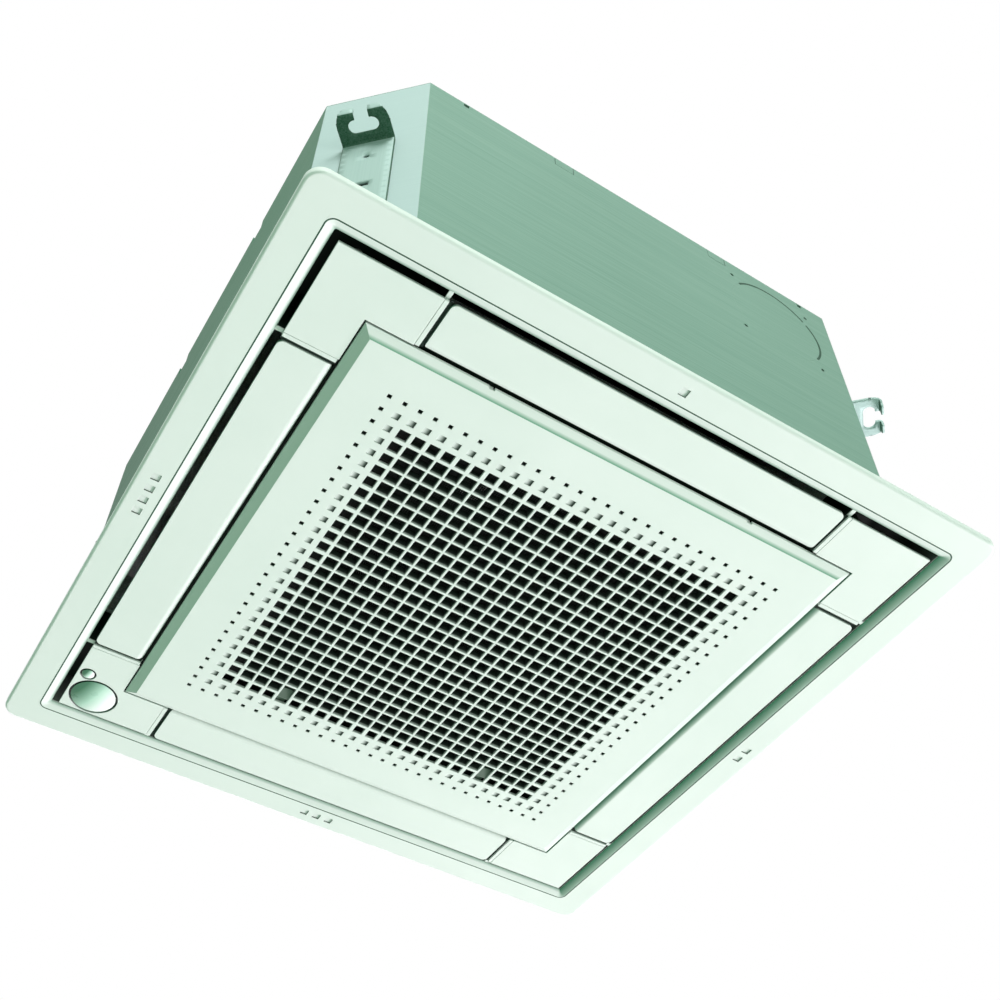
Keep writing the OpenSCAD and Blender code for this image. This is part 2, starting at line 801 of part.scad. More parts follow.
// The liquid header stands beside the return bends, clear of the gas pipe
module liquid_header() color(copper) {
    for (k = [0, tube_n - 1]) {
        feed(row_x[1], liquid_y, k);
        translate([row_x[1], liquid_y, tube_low + k * tube_pitch]) {
            sphere(tube_r);
            rotate([0, 90, 0]) cylinder(h = liquid_x - row_x[1], r = tube_r);
        }
    }
    translate([liquid_x, liquid_y, header_low]) cylinder(h = header_len, r = tube_r);
    translate([liquid_x, liquid_y, liquid_z]) rotate([0, 90, 0])
        cylinder(h = casing_b + pipe_out - liquid_x, r = liquid_r);
}

// A union on the free end of a pipe, with its hexagon and its hollow outer cylinder
union_bore_share = 0.6;
module union_nut(hex_r, r, seat_r) {
    difference() {
        union() {
            cylinder(h = nut_len, r = hex_r, $fn = 6);
            cylinder(h = 2 * nut_len, r = r);
        }
        translate([0, 0, -over]) cylinder(h = nut_len / 2 + over, r = seat_r);
        translate([0, 0, nut_len]) cylinder(h = nut_len + over, r = union_bore_share * r);
    }
}

gas_union_r = 9.5;
liquid_union_r = 5.55;
module pipe_nuts() color(brass_gold) {
    translate([casing_b + pipe_out - nut_len / 2, header_y, gas_z]) rotate([0, 90, 0])
        union_nut(nut_hex_r, gas_union_r, gas_r);
    translate([casing_b + pipe_out - nut_len / 2, liquid_y, liquid_z]) rotate([0, 90, 0])
        union_nut(nut_small_r, liquid_union_r, liquid_r);
}

// A sheet that closes the corner between the coil's two ends
module partition() color(steel_grey) {
    inner_x = coil_w / 2 - coil_t;
    near = coil_end + end_plate_t;
    translate([0, 0, coil_z]) linear_extrude(coil_h) polygon([
        [inner_x, near], [inner_x - end_plate_lap, near], [near, inner_x - end_plate_lap], [near, inner_x],
        [near + sheet_t, inner_x], [inner_x, near + sheet_t]]);
}

// Drain pump and float

pump_flange_t = 2.5;
pump_lip = 2.4;
pump_flange_r = sump_r + pump_lip;
pump_motor_r = 20;
pump_motor_h = 46;
pump_waist_r = 11;
pump_waist_h = 30;
case_r = 15;
case_wall = 1.5;
impeller_r = 11;
impeller_h = 8;
impeller_hub_r = 3;
impeller_shaft_r = 1.5;
pump_lift = 3;
hose_r = 8;
hose_bore = 6;
hose_bend = 14;
outlet_z = pan_top + pump_flange_t + pump_waist_h - hose_r;

module drain_pump() color(pump_white) translate([pump_c, pump_c, 0]) difference() {
    union() {
        translate([0, 0, trough_z + pump_lift]) cylinder(h = pan_top - trough_z - pump_lift, r = case_r);
        translate([0, 0, pan_top]) cylinder(h = pump_flange_t, r = pump_flange_r);
        translate([0, 0, pan_top]) cylinder(h = pump_flange_t + pump_waist_h + over, r = pump_waist_r);
        translate([0, 0, pan_top + pump_flange_t + pump_waist_h])
            cylinder(h = pump_motor_h, r = pump_motor_r);
        translate([0, 0, outlet_z]) rotate([0, -90, 0])
            cylinder(h = pump_c - drain_x - hose_bend, r = hose_bore);
    }
    translate([0, 0, trough_z + pump_lift - over])
        cylinder(h = impeller_h + 3 * over + pump_lift, r = case_r - case_wall);
    translate([0, 0, trough_z + pump_lift])
        cylinder(h = pan_top + pump_flange_t + pump_waist_h - trough_z, r = impeller_shaft_r + run_gap);
}

module pump_impeller() color(pump_white) translate([pump_c, pump_c, trough_z + pump_lift + over]) {
    shaft_top = pan_top + pump_flange_t + pump_waist_h / 2 - trough_z - pump_lift;
    translate([0, 0, impeller_h / 2]) cylinder(h = shaft_top - impeller_h / 2, r = impeller_shaft_r);
    linear_extrude(impeller_h) {
        circle(impeller_hub_r);
        for (a = [0:45:135]) rotate(a) square([2 * impeller_r, case_wall], center = true);
    }
}

// The hose from the pump's outlet up to the socket, as straights and quarter bends
module quarter_hose() rotate_extrude(angle = 90) translate([hose_bend, 0]) difference() {
    circle(hose_r);
    circle(hose_bore);
}

module drain_hose() color(rubber_black) {
    low_z = outlet_z + hose_bend;
    high_z = drain_z - hose_bend;
    socket_y = casing_b - foam_in - over;
    translate([drain_x, pump_c, low_z]) tube(hose_r, hose_bore, high_z - low_z);
    translate([drain_x + hose_bend, pump_c, low_z]) rotate([90, 0, 0]) rotate(180) quarter_hose();
    translate([drain_x, pump_c + hose_bend, high_z]) rotate(90) rotate([90, 0, 0]) rotate(90)
        quarter_hose();
    translate([drain_x, pump_c + hose_bend, drain_z]) rotate([-90, 0, 0])
        tube(hose_r, hose_bore, socket_y - pump_c - hose_bend);
}

module drain_socket() color(rubber_black) translate([drain_x, casing_b - foam_in - over, drain_z])
    rotate([-90, 0, 0]) difference() {
        union() {
            cylinder(h = foam_in + 3 * over, r = drain_root_r);
            cylinder(h = foam_in + over + pipe_out, r = drain_r);
        }
        translate([0, 0, foam_t]) cylinder(h = foam_in + pipe_out, r = drain_r - 2 * case_wall);
        translate([0, 0, -over]) cylinder(h = foam_t + 2 * over, r = hose_bore);
    }

float_c = [197, 207];
float_r = 8;
float_h = 14;
stem_r = 2.4;
float_lift = 3;
stem_rise = 12;
stem_top = pan_top + pump_flange_t + stem_rise;

module float_stem() color(pump_white) {
    translate([float_c[0], float_c[1], trough_z]) {
        cylinder(h = stem_top - trough_z, r = stem_r);
        cylinder(h = float_lift - seat_gap, r = 2 * stem_r);
    }
    translate([float_c[0], float_c[1], stem_top - float_lift])
        rotate(atan2(pump_c - float_c[1], pump_c - float_c[0])) translate([0, -stem_r, 0])
            cube([norm([pump_c, pump_c] - float_c) - pump_waist_r - seat_gap, 2 * stem_r, float_lift]);
}

module float() color(foam_white) translate([float_c[0], float_c[1], trough_z + float_lift])
    tube(float_r, stem_r + run_gap, float_h);

// Control box

box_x = [155, 213];
box_b = 130;
box_low = 8;
box_wall = 1.2;
box_high = pan_z - bell_t;
board_t = 1.6;
board_margin = 4;
relay = [14, 18, 12];
relay_pitch = 36;
relay_each_way = 2;

module control_box() color(steel_grey) difference() {
    span([box_x[0], -box_b, box_low + box_wall], [box_x[1], box_b, box_high]);
    span([box_x[0] + box_wall, -box_b + box_wall, box_low - over],
         [box_x[1] - box_wall, box_b - box_wall, box_high - box_wall]);
}

module control_cover() color(steel_grey)
    span([box_x[0], -box_b, box_low], [box_x[1], box_b, box_low + box_wall]);

module circuit_board() color(board_green) {
    board_z = box_high - box_wall - board_margin;
    low = [box_x[0] + board_margin, -box_b + board_margin];
    high = [box_x[1] - board_margin, box_b - board_margin];
    span([low[0], low[1], board_z - board_t], [high[0], high[1], board_z]);
    for (x = [low[0], high[0] - board_margin], y = [low[1], high[1] - board_margin])
        span([x, y, board_z], [x + board_margin, y + board_margin, box_high - box_wall]);
    for (k = [-relay_each_way:relay_each_way])
        translate([(low[0] + high[0] - relay[0]) / 2, k * relay_pitch, board_z - board_t - relay[2]])
            cube(relay);
}

// Panel frame

// Turn of each side, how many marks it has and how far they stand off its middle
mark_rows = [
    [0, 1, 0.5], [90, 2, 1], [180, 3, -1.6], [270, 4, -2.3]
];
mark_r = 295.5;
edge_round = 2.5;
boss_r = 4;
boss_bore = 2;
boss_far = 264;
boss_near = 196;
screw_at = 248;
screw_r = 2.6;
pocket_top = 3;
ear_x = 120;
ear_t = 4;
ear_r = 2.2;
hinge_pin_r = 1.2;
hinge_inset = 4;
hinge_rise = 2;
hinge_at = grille_b - hinge_inset;
hinge_z = -flange_t + hinge_rise;
latch_hole = 8;
latch_bar = [8, 2.5];
bolt_z = 3.5;

// The strip cut from the outer lower edge, which leaves a rounded edge
module edge_cutter() {
    difference() {
        translate([-edge_round, -over]) square([edge_round + over, edge_round + over]);
        translate([-edge_round, edge_round]) circle(edge_round);
        translate([-2 * edge_round, edge_round]) square([2 * edge_round, 2 * over]);
    }
}

module rim_rounding() translate([0, 0, -flange_t]) for (a = [0:90:270]) rotate(a) {
    translate([panel_b, panel_b - panel_r, 0]) rotate([90, 0, 0])
        linear_extrude(panel_w - 2 * panel_r) edge_cutter();
    translate([panel_b - panel_r, panel_b - panel_r, 0])
        rotate_extrude(angle = 90) translate([panel_r, 0]) edge_cutter();
}

module index_marks() {
    for (row = mark_rows) rotate(row[0]) for (k = [0:row[1] - 1]) {
        mid = row[2] + (k - (row[1] - 1) / 2) * mark_pitch;
        translate([mid - mark_w / 2, -mark_r - mark_w / 2, -flange_t - over])
            cube([mark_w, mark_w, mark_depth + over]);
    }
}

// An ear that reaches down from the inner wall to a hinge pin
module hinge_ear() rotate([90, 0, 90]) linear_extrude(ear_t, center = true) {
    translate([-hinge_at, hinge_z]) circle(ear_r);
    translate([-hinge_at - ear_r, hinge_z]) square([2 * ear_r, inner_z - hinge_z + duct_wall]);
    translate([-inner_out, inner_z]) square([inner_out - hinge_at + ear_r, duct_wall]);
}

module panel_frame() color(panel_white) difference() {
    union() {
        difference() {
            union() {
                translate([0, 0, -flange_t]) linear_extrude(flange_t) round_square(panel_w, panel_r);
                translate([0, 0, panel_top / 2]) cube(
                    [2 * (duct_b + duct_wall), 2 * (duct_b + duct_wall), panel_top], center = true);
            }
            rim_rounding();
            index_marks();
            translate([0, 0, -flange_t - over])
                frustum(well_b + over * bevel_w / bevel_h, duct_b, bevel_h + over);
            // Air outlets behind the louvres
            for (a = [0:90:270]) rotate(a)
                span([inner_out, -post_in, -flange_t], [duct_b, post_in, panel_top + over]);
            // Pockets behind the corner covers
            for (a = [0:90:270]) rotate(a) difference() {
                span([post_out, post_out, -flange_t], [duct_b, duct_b, panel_top - pocket_top]);
                span([0, 0, -flange_t - over], [inner_out, inner_out, panel_top + over]);
                for (p = [[boss_far, boss_near], [boss_near, boss_far]])
                    translate([p[0], p[1], 0]) cylinder(h = 2 * panel_top, r = boss_r, center = true);
            }
            // Suction opening, and the room for the grille's rim under the inner wall
            translate([0, 0, panel_top / 2]) cube(
                [2 * inner_in, 2 * inner_in, 3 * panel_top], center = true);
            span([-inner_room, -inner_room, -2 * flange_t], [inner_room, inner_room, inner_z]);
            // The lower ends of the walls stand back from the flange's face
            span([-louvre_b, -louvre_b, -2 * flange_t], [louvre_b, louvre_b, -flange_t + cover_t / 2]);
            for (a = [0:90:270]) rotate(a)
                span([post_out - over, post_out - over, -2 * flange_t],
                     [louvre_b, louvre_b, -flange_t + cover_t]);
        }
        for (s = [-1, 1]) translate([s * ear_x, 0, 0]) hinge_ear();
    }
    for (s = [-1, 1]) translate([s * ear_x - ear_t, -hinge_at, hinge_z]) rotate([0, 90, 0])
        cylinder(h = 2 * ear_t, r = hinge_pin_r + run_gap);
    // Bores for the louvre pins' bushes, the cover pegs and the panel screws
    for (a = [0:90:270]) rotate(a) {
        for (s = [-1, 1]) translate([pivot_r, s * (post_in + end_wall / 2), pivot_z]) rotate([90, 0, 0])
            cylinder(h = end_wall + 2 * over, r = bush_r + run_gap, center = true);
        for (p = [[boss_far, boss_near], [boss_near, boss_far]])
            translate([p[0], p[1], -flange_t]) cylinder(h = panel_top / 2, r = boss_bore);
        translate([screw_at, screw_at, 0]) cylinder(h = panel_top + over, r = screw_r);
    }
    // Keepers for the latches, open downwards so that the bolts can drop out
    for (s = [-1, 1])
        span([s * latch_x - latch_hole / 2 - over, inner_in - over, inner_z - over],
             [s * latch_x + latch_hole / 2 + over, inner_out + over, bolt_z + latch_bar[1] + over]);
}

// Louvres

bush_r = 3.4;
bush_lip = 0.8;
bush_lip_r = 3.8;
nose_lip = 1.5;
arm_t = 2.5;
rib_n = 5;
rib_t = 1.6;
rib_reach_share = 0.9;
rib_knee_share = 0.33;
louvre_corner_r = 5;
pin_reach = 7;
louvre_reach = louvre_w - nose_r;
rib_reach = rib_reach_share * louvre_reach;

// Section of a louvre: plate with a hollow nose rolled up round the pivot
module louvre_section() {
    translate([0, -nose_r]) square([louvre_reach, louvre_t]);
    difference() {
        circle(nose_r);
        circle(nose_r - louvre_t);
        translate([0, -nose_r - over]) square([nose_r + over, 2 * nose_r + 2 * over]);
        translate([-nose_r - over, nose_lip]) square([2 * nose_r, nose_r + over]);
    }
}

// Ribs and end arms stiffen the plate from behind
module louvre_rib(thick) {
    rotate([90, 0, 0]) linear_extrude(thick, center = true) {
        intersection() {
            circle(nose_r);
            translate([-nose_r, -nose_r]) square([2 * nose_r, nose_r + nose_lip]);
        }
        polygon([[0, -nose_r], [rib_reach, -nose_r], [rib_reach, -nose_r + louvre_t],
                 [rib_knee_share * louvre_reach, nose_lip - nose_r / 2],
                 [nose_r / 2, nose_lip], [0, nose_lip]]);
    }
}

module louvre(turn) color(panel_white) rotate(turn) translate([pivot_r, 0, pivot_z]) {
    intersection() {
        union() {
            rotate([90, 0, 0]) linear_extrude(2 * louvre_half, center = true) louvre_section();
            for (k = [1:rib_n])
                translate([0, louvre_half * (2 * k / (rib_n + 1) - 1), 0]) louvre_rib(rib_t);
            for (s = [-1, 1]) translate([0, s * (louvre_half - arm_t / 2), 0]) louvre_rib(arm_t);
        }
        translate([louvre_w / 2 - nose_r, 0, -2 * nose_r]) linear_extrude(4 * nose_r)
            round_rect(louvre_w, 2 * louvre_half, louvre_corner_r);
    }
    // Hubs fill the corner that the rounding takes off, and carry the pins
    for (s = [-1, 1]) rotate([s * -90, 0, 0]) translate([0, 0, louvre_half - louvre_corner_r])
        cylinder(h = louvre_corner_r + louvre_end_gap / 2, r = bush_r);
    rotate([-90, 0, 0]) cylinder(h = post_out + pin_reach, r = louvre_pin_r);
    rotate([90, 0, 0]) cylinder(h = post_out, r = louvre_pin_r);
}

module louvre_right() louvre(0);
module louvre_far() louvre(90);
module louvre_left() louvre(180);
module louvre_near() louvre(270);

module louvre_bushes() color(dark_grey) for (a = [0:90:270], s = [0, 1]) rotate(a)
    mirror([0, s, 0]) translate([pivot_r, post_in, pivot_z]) rotate([-90, 0, 0]) {
        tube(bush_r, louvre_pin_r + run_gap, end_wall);
        translate([0, 0, -bush_lip]) tube(bush_lip_r, louvre_pin_r + run_gap, bush_lip);
    }

// Motors stand at one end of each louvre, with the drum offset from the driven pin
gear_boss_r = 3.4;
drum_dx = 6;
drum_dz = 9.2;
module louvre_motors() color(dark_grey) for (a = [0:90:270]) rotate(a)
    translate([pivot_r, post_out + seat_gap, pivot_z]) rotate([-90, 0, 0]) difference() {
        union() {
            cylinder(h = louvre_motor_l / 2, r = gear_boss_r);
            translate([drum_dx, -drum_dz, 0]) cylinder(h = louvre_motor_l, r = louvre_motor_d / 2);
        }
        translate([0, 0, -over]) cylinder(h = pin_reach + 2 * over, r = louvre_pin_r + run_gap);
    }

// Corner covers

dome_at = [246.3, 247];
pip_at = [260.8, 221];
lens_gap = 1;
peg_r = 1.85;
peg_h = 8;
cover_lip = 2;

// A cover in the corner where x and y are positive
module cover(with_sensor) difference() {
    union() {
        difference() {
            span([cover_in, cover_in, -flange_t], [louvre_b, louvre_b, -flange_t + cover_t]);
            span([0, 0, -flange_t - over], [inner_room, inner_room, -flange_t + cover_t + over]);
        }
        for (p = [[boss_far, boss_near], [boss_near, boss_far]])
            translate([p[0], p[1], -flange_t]) cylinder(h = cover_t + peg_h, r = peg_r);
    }
    if (with_sensor) {
        translate([dome_at[1], dome_at[0], -flange_t - over])
            cylinder(h = cover_t + 2 * over, r = dome_d / 2 + lens_gap);
        translate([pip_at[1], pip_at[0], -flange_t - over])
            cylinder(h = cover_t + 2 * over, r = pip_d / 2 + lens_gap);
    }
}

module cover_far_right() color(panel_white) cover(false);
module cover_far_left() color(panel_white) rotate(90) cover(true);
module cover_near_left() color(panel_white) rotate(180) cover(false);
module cover_near_right() color(panel_white) rotate(270) cover(false);

// The domes sit on a flange behind the cover's holes
module lens(at, d, crown) translate([-at[0], at[1], -flange_t]) {
    dome(d, crown, cover_t + over);
    translate([0, 0, cover_t]) cylinder(h = cover_lip, r = d / 2 + lens_gap + seat_gap);
}

module sensor_dome() color(panel_white) lens(dome_at, dome_d, dome_h);
module sensor_pip() color(panel_white) lens(pip_at, pip_d, pip_h);

// Suction grille

core_b = (full_rings + 0.5) * hole_pitch + (hole_pitch - full_hole) / 2;
stiff_room = 7;
stiff_out = filter_w / 2 + stiff_room;
stiff_t = 2;
stiff_top = 3;
rim_skin = 2;
rim_b = grille_face_b - rim_skin;
rim_back = grille_b - 2 * rim_skin;
latch_row = full_rings + 0.5;
latch_column = 8;
latch_x = latch_column * hole_pitch;
latch_y = latch_row * hole_pitch;
knob = [11, 10];
bar_z = face_z + grille_t + over;
knuckle_t = 6;
post_r = 2;
pin_len = 3 * ear_t;
pin_room = hinge_pin_r + run_gap;
knuckle_foot = 1.4;

function hole_side(ring) =
    ring <= full_rings ? full_hole : ring == full_rings + 1 ? third_hole
    : ring == full_rings + 2 ? blind_hole : small_hole;

// The square holes of the rings from first to last
module hole_rings(first, last) {
    for (i = [-last:last], j = [-last:last]) {
        ring = max(abs(i), abs(j));
        if (ring >= first)
            translate([i * hole_pitch, j * hole_pitch]) square(hole_side(ring), center = true);
    }
}

// The rib between two holes gives way to a latch
module latch_window(s) {
    low_y = latch_y - (hole_pitch + full_hole) / 2;
    high_y = latch_y + hole_pitch - (full_hole - third_hole) / 2 - over;
    span([s * latch_x - knob[0] / 2, low_y, face_z - over],
         [s * latch_x + knob[0] / 2, high_y, face_z + rib_h + over]);
}

module suction_grille() color(panel_white) {
    // Bevelled rim, hollow behind
    difference() {
        union() {
            translate([0, 0, face_z]) frustum(grille_face_b, grille_b, grille_drop);
            span([-grille_b, -grille_b, -flange_t], [grille_b, grille_b, -flange_t + grille_t]);
        }
        span([-rim_b, -rim_b, face_z - over], [rim_b, rim_b, panel_top]);
        translate([0, 0, face_z + grille_t]) frustum(rim_b, grille_b - rim_skin, grille_drop);
        span([-rim_back, -rim_back, -flange_t + rim_skin / 2], [rim_back, rim_back, panel_top]);
        // Notches in the rim where the frame's ears swing through
        for (s = [-1, 1])
            span([s * ear_x - ear_t / 2 - over / 2, -grille_b - over, hinge_z - ear_r - seat_gap],
                 [s * ear_x + ear_t / 2 + over / 2, -hinge_at + 2 * ear_r, panel_top]);
        // Room for the hinge pins, inside the knuckles
        for (s = [-1, 1])
            span([s * ear_x - pin_len / 2 - seat_gap, -hinge_at - pin_room, hinge_z - pin_room],
                 [s * ear_x + pin_len / 2 + seat_gap, -hinge_at + pin_room, panel_top]);
    }
    // Plate with the outer rings of holes
    difference() {
        translate([0, 0, face_z]) linear_extrude(grille_t) difference() {
            square(2 * rim_b, center = true);
            square(2 * core_b, center = true);
            hole_rings(full_rings + 1, full_rings + 1);
            hole_rings(full_rings + 3, full_rings + 3);
        }
        translate([0, 0, face_z - over]) linear_extrude(blind_depth + over)
            hole_rings(full_rings + 2, full_rings + 2);
        for (s = [-1, 1]) latch_window(s);
    }
    // Core with the full holes and deep ribs
    difference() {
        translate([0, 0, face_z]) linear_extrude(rib_h) difference() {
            square(2 * core_b, center = true);
            hole_rings(0, full_rings);
        }
        for (s = [-1, 1]) latch_window(s);
    }
    // Stiffening wall that frames the filter
    difference() {
        translate([0, 0, face_z + grille_t])
            square_ring(stiff_out, stiff_out - stiff_t, stiff_top - face_z - grille_t);
        for (s = [-1, 1])
            span([s * latch_x - latch_hole / 2 - over / 2, latch_y, bar_z - over / 2],
                 [s * latch_x + latch_hole / 2 + over / 2, grille_b, bar_z + latch_bar[1] + over / 2]);
    }
    // Posts that carry the filter's frame
    for (a = [0:90:270], s = [-1, 1]) rotate(a)
        translate([filter_b - filter_rim / 2, s * (filter_b / 2 - post_r), face_z + grille_t / 2])
            cylinder(h = filter_low - face_z - grille_t / 2, r = post_r);
    // Knuckles that hold the hinge pins on both sides of each ear
    for (s = [-1, 1], e = [-1, 1]) difference() {
        translate([s * ear_x + e * (ear_t / 2 + seat_gap + knuckle_t / 2), -hinge_at, hinge_z])
            rotate([90, 0, 90]) linear_extrude(knuckle_t, center = true) {
                circle(ear_r);
                translate([-ear_r / 2, -flange_t - knuckle_foot - hinge_z])
                    square([2 * ear_r, hinge_z + flange_t + knuckle_foot]);
            }
        translate([s * ear_x + e * (ear_t / 2 + seat_gap + knuckle_t / 2), -hinge_at, hinge_z])
            rotate([0, 90, 0]) cylinder(h = 2 * knuckle_t, r = hinge_pin_r, center = true);
    }
}

module hinge_pins() color(fin_silver) for (s = [-1, 1])
    translate([s * ear_x, -hinge_at, hinge_z]) rotate([0, 90, 0])
        cylinder(h = pin_len, r = hinge_pin_r, center = true);

// Latches: a slanted knob in the grille, a flat bar behind it and a bolt at its end

bolt_bite = 3;
bolt_tip = inner_in + bolt_bite;
riser_y = stiff_out + stiff_room;
riser_t = 3;
knob_sunk = 0.6;
knob_low = face_z + knob_sunk;
knob_slant = 3;
module latch(s) translate([s * latch_x, 0, 0]) {
    translate([-knob[0] / 2 + seat_gap, 0, 0]) rotate([90, 0, 90]) linear_extrude(knob[0] - 2 * seat_gap)
        polygon([[latch_y - knob[1] / 2, knob_low + knob_slant], [latch_y + knob[1] / 2, knob_low],
                 [latch_y + knob[1] / 2, bar_z + latch_bar[1]],
                 [latch_y - knob[1] / 2, bar_z + latch_bar[1]]]);
    span([-latch_bar[0] / 2, latch_y, bar_z], [latch_bar[0] / 2, riser_y + riser_t, bar_z + latch_bar[1]]);
    span([-latch_bar[0] / 2, riser_y, bar_z], [latch_bar[0] / 2, riser_y + riser_t, bolt_z + latch_bar[1]]);
    span([-latch_bar[0] / 2, riser_y, bolt_z], [latch_bar[0] / 2, bolt_tip, bolt_z + latch_bar[1]]);
}

module latch_left() color(panel_white) latch(-1);
module latch_right() color(panel_white) latch(1);

// Air filter

filter_low = face_z + rib_h + seat_gap;
filter_b = filter_w / 2;
filter_rim = 6;
bar_w = 2.5;
net_t = 0.8;
net_wire = 1.2;

module filter_frame() color(dark_grey) translate([0, 0, filter_low]) {
    difference() {
        square_ring(filter_b, filter_b - filter_rim, filter_h);
        translate([0, 0, net_t])
            square_ring(filter_b - filter_rim / 2, filter_b - filter_rim - over, net_t + seat_gap);
    }
    for (k = [1:filter_bars], a = [0, 90]) rotate(a) {
        mid = 2 * filter_b * k / (filter_bars + 1) - filter_b;
        translate([mid - bar_w / 2, -filter_b + filter_rim / 2, 2 * net_t + seat_gap])
            cube([bar_w, 2 * filter_b - filter_rim, filter_h - 2 * net_t - seat_gap]);
    }
}

// The net is drawn coarser than the real one
module filter_net() color(dark_grey) {
    net_b = filter_b - filter_rim / 2 - seat_gap;
    pitch = (2 * net_b - net_wire) / net_gaps;
    translate([0, 0, filter_low + net_t + run_gap]) linear_extrude(net_t) {
        for (k = [0:net_gaps]) {
            translate([-net_b + k * pitch, -net_b]) square([net_wire, 2 * net_b]);
            translate([-net_b, -net_b + k * pitch]) square([2 * net_b, net_wire]);
        }
    }
}

// Screws

head_r = 4.5;
head_h = 3;
top_screw_in = 12;

module panel_screws() color(fin_silver) for (s = corners)
    translate([s[0] * screw_at, s[1] * screw_at, panel_top - pocket_top]) {
        cylinder(h = pocket_top, r = screw_r - run_gap);
        translate([0, 0, -head_h]) cylinder(h = head_h, r = head_r);
    }

// Screws through the top plate's edge
module casing_screws() color(fin_silver) {
    for (a = [0:90:270], s = [-1, 1]) rotate(a)
        translate([s * small_notch_x, -casing_b + top_screw_in, casing_top])
            cylinder(h = head_h / 2, r = head_r);
    plate_mid_y = header_y - plate_lap / 2;
    for (s = corners)
        translate([casing_b + sheet_t, plate_mid_y + s[0] * (pipe_hole[0] - plate_lap) / 2,
                   pipe_mid_z + s[1] * (pipe_hole[1] + plate_lap) / 2])
            rotate([0, 90, 0]) cylinder(h = head_h / 2, r = plate_lap / 2);
}

top_plate();
front_wall();
right_wall();
back_wall();
left_wall();
knockout_disc();
hanger_near_left();
hanger_near_right();
hanger_far_right();
hanger_far_left();
foam_liner();
drain_pan();
panel_seal();
bell_mouth();
fan();
fan_shaft();
fan_nut();
fan_motor();
motor_mounts();
coil_fins();
coil_end_plates();
coil_bends();
gas_header();
liquid_header();
pipe_nuts();
pipe_plate();
partition();
drain_pump();
pump_impeller();
drain_hose();
drain_socket();
float_stem();
float();
control_box();
control_cover();
circuit_board();
cable_gland();
panel_frame();
louvre_near();
louvre_right();
louvre_far();
louvre_left();
louvre_motors();
louvre_bushes();
cover_near_left();
cover_near_right();
cover_far_right();
cover_far_left();
sensor_dome();
sensor_pip();
suction_grille();
hinge_pins();
filter_frame();
filter_net();
latch_left();
latch_right();
panel_screws();
casing_screws();
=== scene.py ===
import math

import bmesh
import bpy
import numpy as np
from mathutils import Matrix, Vector
from mathutils.geometry import delaunay_2d_cdt


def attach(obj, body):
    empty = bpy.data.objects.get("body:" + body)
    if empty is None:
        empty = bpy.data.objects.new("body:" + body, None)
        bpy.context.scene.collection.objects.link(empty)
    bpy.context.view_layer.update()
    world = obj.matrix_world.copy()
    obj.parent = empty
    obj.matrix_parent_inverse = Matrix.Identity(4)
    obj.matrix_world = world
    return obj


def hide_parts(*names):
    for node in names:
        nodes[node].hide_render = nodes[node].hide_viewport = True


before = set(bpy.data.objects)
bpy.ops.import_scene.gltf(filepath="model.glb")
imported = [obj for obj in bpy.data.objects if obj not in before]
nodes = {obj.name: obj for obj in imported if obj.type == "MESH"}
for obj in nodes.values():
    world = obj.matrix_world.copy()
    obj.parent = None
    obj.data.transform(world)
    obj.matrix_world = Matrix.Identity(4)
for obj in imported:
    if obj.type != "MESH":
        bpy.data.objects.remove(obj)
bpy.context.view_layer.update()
mm = 0.001  # the pieces' sizes are in mm, the materials' in metres


